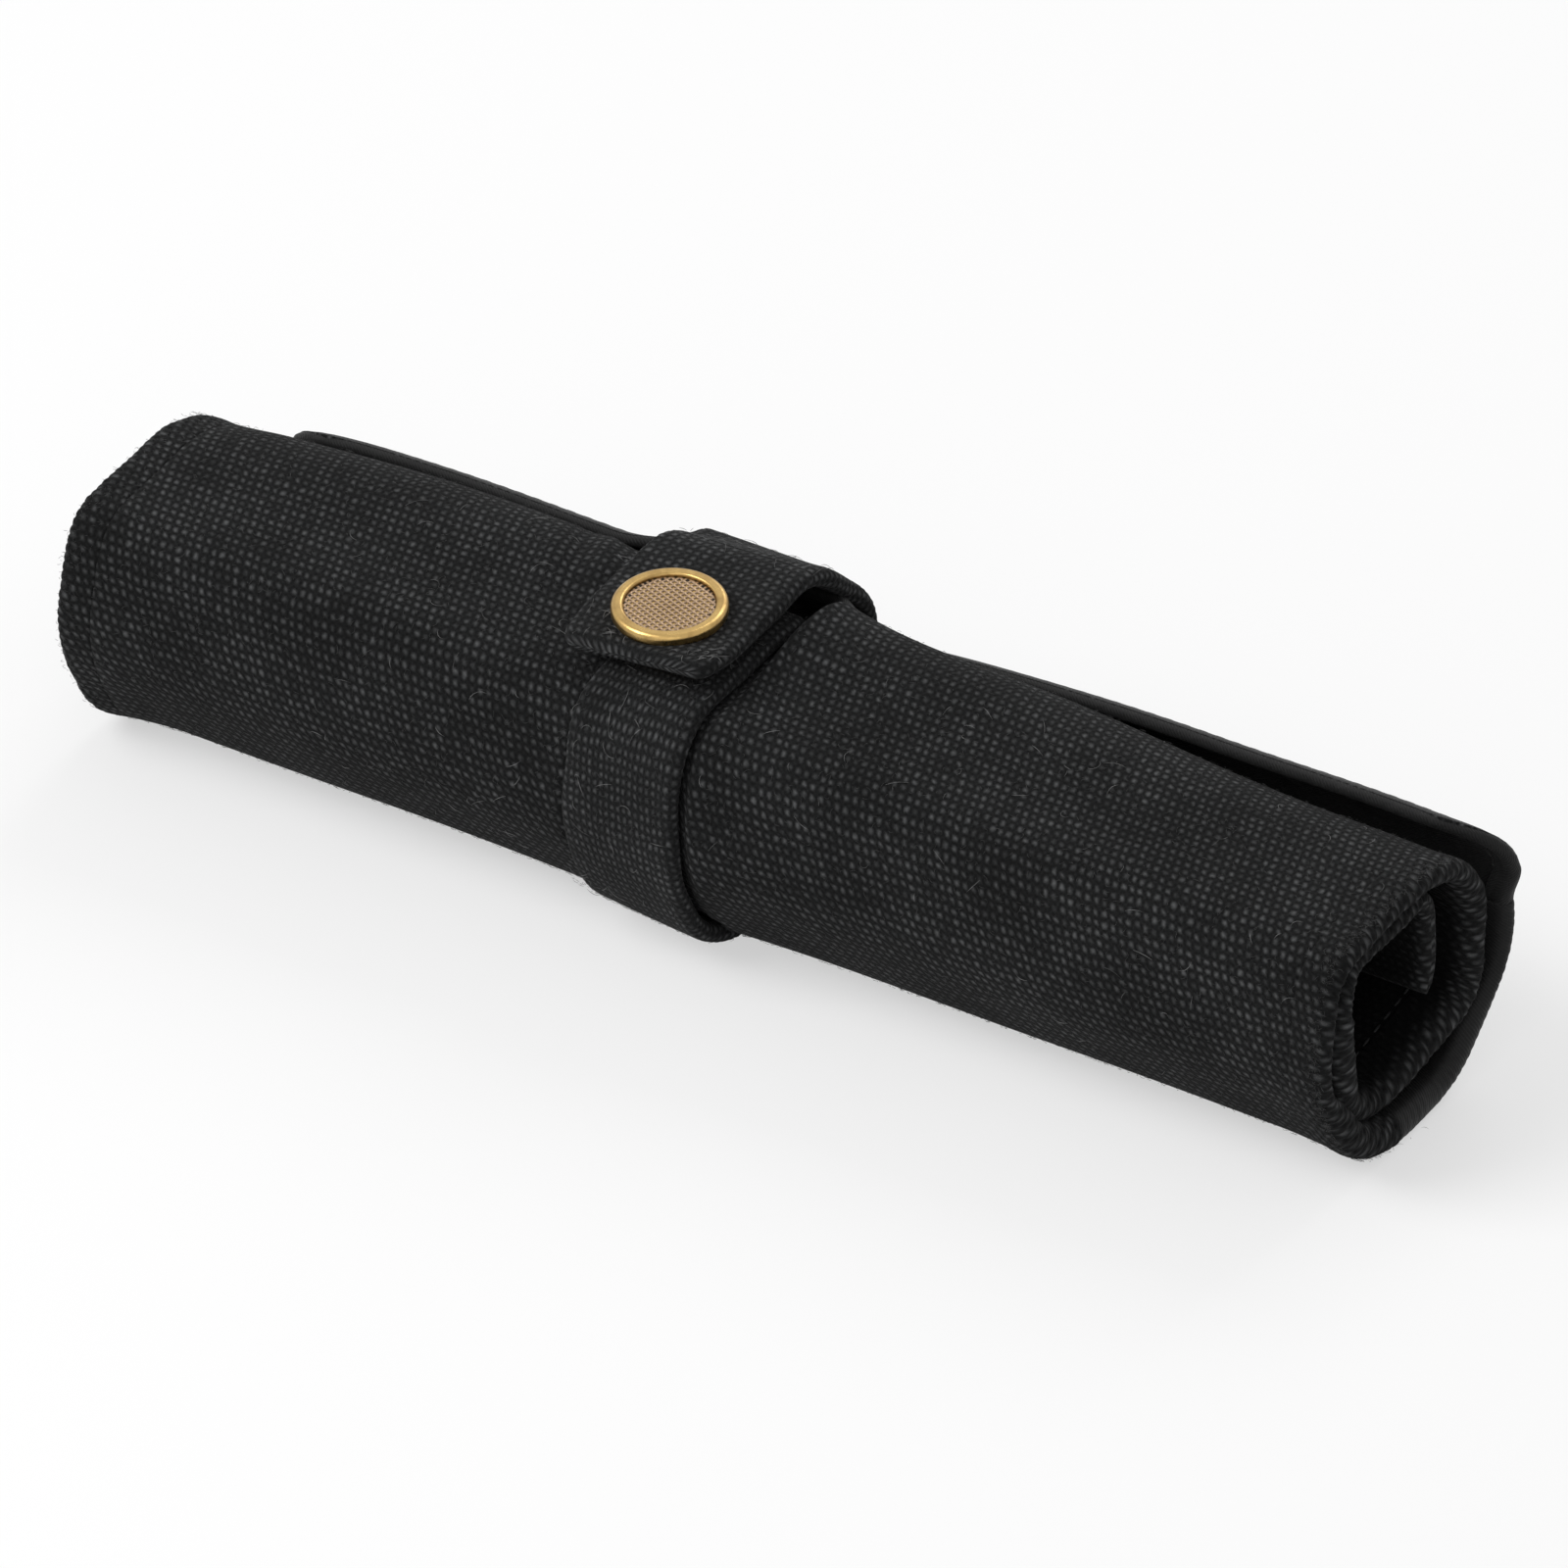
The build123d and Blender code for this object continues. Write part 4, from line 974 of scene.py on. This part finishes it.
strap_piece("strap_base", 0.0, BACK_START, "roll")
strap_piece("strap_back", BACK_START, LOOP_START, ("roll", "flap", (-26.9, 2.8), (-26.9, 5.6)))
strap_piece("strap_loop", LOOP_START, TAB_START, ("flap", "strap_loop", *strap_bend(LOOP_HINGE, 1.2, 1.6)))
strap_piece("strap_tab", TAB_START, STRAP_END, ("strap_loop", "strap_tab", *strap_bend(TAB_HINGE, 1.6, 1.6)),
            free=True)


def strap_tack(name, marks, body):
    """Rows of stitches across the strap's outer face."""
    rows = []
    for mark in marks:
        def place(x, mark=mark):
            point = on_strap(np.full_like(x, mark), STRAP_X + x, -STRAP_THICK - 0.12)
            return point, point - on_strap(np.full_like(x, mark), STRAP_X + x, 0.0)
        rows.append(row_of_stitches(name, place, np.arange(-9.8, 10, 2.45)))
    kept(joined(name, rows), body, THREAD, "thread", name)


strap_tack("base_tack", (0.6, 2.0), "roll")
strap_tack("back_tack", (STRAP_HINGE + 1.4, STRAP_HINGE + 2.8), "flap")


# ---- loose fibres
def fibres(seed, name, body, surface, first, last, count, length, thick, material):
    """Fibres lying on a surface: each starts at a random place between the corners first and last, and
    is a three-sided tube along an arc, its heading turning evenly and its height above the cloth
    following sin(pi t).
    """
    pick = np.random.default_rng(seed)
    start = pick.uniform(first, last, (count, 2))
    heading, turn = pick.uniform(0, 2 * np.pi, count), pick.normal(0, 1.6, count)
    long = length * pick.uniform(0.45, 1.3, count)
    t = np.linspace(0, 1, 6)
    angle = heading[:, None] + turn[:, None] * t
    step = (long / 5)[:, None]
    along = start[:, :1] + np.cumsum(np.cos(angle) * step, axis=1)
    x = start[:, 1:] + np.cumsum(np.sin(angle) * step, axis=1)
    up = 0.12 + 0.35 * np.sin(np.pi * t) * pick.uniform(0.1, 1.0, (count, 1)) * min(1, length / 2)
    middle = surface(along, x, -up)
    ahead = normed(np.gradient(middle, axis=1), 1e-12)
    aside = normed(np.cross(ahead, [0.3, 0.5, 0.81]), 1e-12)
    lift = np.cross(aside, ahead)
    around = np.arange(3) * 2 * np.pi / 3
    radius = thick / 2 * MM * np.clip(np.sin(np.pi * (0.12 + 0.76 * t)), 0.2, 1)[None, :, None, None]
    rim = np.cos(around)[:, None] * aside[:, :, None] + np.sin(around)[:, None] * lift[:, :, None]
    faces = tube_faces(count, len(t), len(around))
    kept(shaped(name, middle[:, :, None] + radius * rim, faces), body, material, "thread")


def on_base(along, x, up):
    """A point over the strap's outer face, by its length along the strap and x."""
    far, near = strap_sides(along)
    press = strap_press(along, (x - (far + near) / 2) / (near - far))
    return on_strap(along, x, press - STRAP_THICK - 0.15 + up)


FAR_SIDE, NEAR_SIDE = STRAP_X - STRAP_HALF + 0.6, STRAP_X + STRAP_HALF - 0.6
ON_ROLL, ON_BASE = ("roll", on_roll), ("roll", on_base)
FIBRES = (
    ("base_lint", *ON_BASE, (3, -20.5), (88, -2.5), 70, 3.2, 0.085, LINT),
    ("canvas_lint", *ON_ROLL, (FOOT_END, -70), (RIDGE, -28), 45, 2.8, 0.08, LINT),
    ("near_canvas_lint", *ON_ROLL, (FOOT_END, 2), (RIDGE, 104), 70, 2.6, 0.08, LINT),
    ("loop_lint", "strap_loop", on_base, (LOOP_LIP, FAR_SIDE), (TAB_START, NEAR_SIDE), 28, 3.0, 0.085, LINT),
    ("tab_lint", "strap_tab", on_base, (STRAP_END - 5.5, FAR_SIDE), (STRAP_END - 1, NEAR_SIDE), 34, 2.8,
     0.085, LINT),
    ("canvas_fuzz", *ON_ROLL, (FLOOR_START, -ROLL_END), (RIDGE + 4, ROLL_END), 5200, 1.0, 0.06, THREAD),
    ("end_fuzz", *ON_ROLL, (FLOOR_END, ROLL_END - 3), (RIDGE, ROLL_END - 0.9), 1100, 0.8, 0.06, THREAD),
    ("far_end_fuzz", *ON_ROLL, (FLOOR_START, -ROLL_END - 0.2), (RIDGE, 2.5 - ROLL_END), 700, 0.7, 0.06,
     THREAD),
    ("base_fuzz", *ON_BASE, (2, -21.5), (88, -1.5), 700, 1.0, 0.06, THREAD))
for seed, row in enumerate(FIBRES, 11):
    fibres(seed, *row)


# ---- the press stud
def mesh_insert():
    """The cap's sunk insert: a disc stamped with a fine square mesh. Its height is the higher of two
    sets of round bars at right angles, powers of |cos|, that fade at the rim; underneath it is flat.
    """
    lean = math.radians(SNAP_TILT)
    side = np.array([1.0, 0.0, 0.0])
    out = np.array([0.0, -math.sin(lean), math.cos(lean)])
    ahead = np.array([0.0, -math.cos(lean), -math.sin(lean)])
    foot = placed(SNAP_POINT + SNAP_BASE * unit(90 - SNAP_TILT), np.array(STRAP_X))
    radius, top, low = 6.64, 6.6, 6.05
    rings = np.concatenate([np.linspace(0.05, radius - 0.35, 84), [radius - 0.15, radius]])
    turn = np.linspace(0, 2 * np.pi, 300, endpoint=False)
    r = rings[:, None]
    a, b = r * np.cos(turn), r * np.sin(turn)
    p = a * math.cos(MESH_SLANT) + b * math.sin(MESH_SLANT)
    q = b * math.cos(MESH_SLANT) - a * math.sin(MESH_SLANT)
    bars = np.maximum(np.abs(np.cos(p * np.pi / MESH_PITCH)), np.abs(np.cos(q * np.pi / MESH_PITCH)))
    fade = 1 - ramp((r - radius + 0.7) / 0.5)
    height = top + (0.45 * bars ** 3 - 0.38) * fade
    a = np.concatenate([a, a[-1:], 0.02 * a[:1]])
    b = np.concatenate([b, b[-1:], 0.02 * b[:1]])
    height = np.concatenate([height, np.full((2, len(turn)), low)])
    points = foot + MM * (a[..., None] * side + b[..., None] * ahead + height[..., None] * out)
    flat = np.stack([a, b], axis=-1)
    cloth = np.concatenate([flat, flat[:, :1]], axis=1)
    piece = meshed("mesh_insert", points, cloth, closed=True)
    kept(piece, "strap_tab", MESH_BRASS, "mesh_brass", "cap_mesh")


mesh_insert()
for names, material in ((("snap_cap",), CAP_BRASS),
                        (("snap_stud", "stud_post", "snap_socket", "cap_post"), PLAIN_BRASS),
                        (("socket_spring",), SPRING_WIRE),
                        (("base_stiffener", "tab_stiffener"), WASHER)):
    for name in names:
        finished(frame["nodes"][name], material)


# ---- floor, light and camera
def floor():
    """A pale floor that shows white to the camera and keeps the roll's shadow."""
    corners = 3.0 * np.array([(-1, -1, 0), (1, -1, 0), (1, 1, 0), (-1, 1, 0)])
    made = shaped("floor", corners, [(0, 1, 2, 3)], smooth=0)
    finish = Finish("pale_floor")
    glow = finish.node("ShaderNodeEmission", None, {"Color": (1, 1, 1, 1), "Strength": 1.0})
    matt = finish.node("ShaderNodeBsdfDiffuse", None, {"Color": (0.86, 0.86, 0.86, 1)})
    mixed = finish.node("ShaderNodeMixShader", None, {0: finish.seen() * 0.55, 1: matt, 2: glow})
    finish.node("ShaderNodeOutputMaterial", None, {"Surface": mixed})
    finished(made, finish.owner)


def world():
    """A plain white room: full white to the camera and to reflections, softer as light."""
    bpy.context.scene.world = bpy.data.worlds.new("room")
    room = Finish("room", bpy.context.scene.world)
    low, high = (room.node("ShaderNodeBackground", None, {"Color": (1, 1, 1, 1), "Strength": strength})
                 for strength in (0.5, 1.0))
    mixed = room.node("ShaderNodeMixShader", None, {0: room.seen(), 1: low, 2: high})
    room.node("ShaderNodeOutputWorld", None, {"Surface": mixed})


def aimed(made, place, towards):
    """Puts a lamp or camera at a place, looking that way."""
    made.location = place
    made.rotation_mode = "QUATERNION"
    made.rotation_quaternion = towards.to_track_quat("-Z", "Y")


def lamp(name, place, size, power):
    """A soft square lamp, aimed at the roll."""
    data = bpy.data.lights.new(name, "AREA")
    data.size, data.energy = size, power
    aimed(linked(name, data), Vector(place), Vector((0, 0, 0.02)) - Vector(place))


def camera(azimuth, elevation, distance, span):
    """A long lens that takes in the span, in metres, at that distance."""
    a, e = math.radians(azimuth), math.radians(elevation)
    back = Vector((math.sin(a) * math.cos(e), -math.cos(a) * math.cos(e), math.sin(e)))
    data = bpy.data.cameras.new("camera")
    data.lens = data.sensor_width * distance / span
    data.clip_start, data.clip_end = 1, 100
    made = linked("camera", data)
    aimed(made, Vector((0, 0, 0.0207)) + back * distance, -back)
    bpy.context.scene.camera = made


floor()
world()
lamp("key", (-0.7, -0.7, 1.1), 0.8, 13)
lamp("fill", (0.5, -1.1, 0.7), 0.9, 2)
lamp("back", (-0.1, 1.1, 1.0), 0.8, 6)
camera(azimuth=32.7, elevation=33.8, distance=8, span=0.2247)
bpy.context.scene.view_settings.view_transform = "Standard"
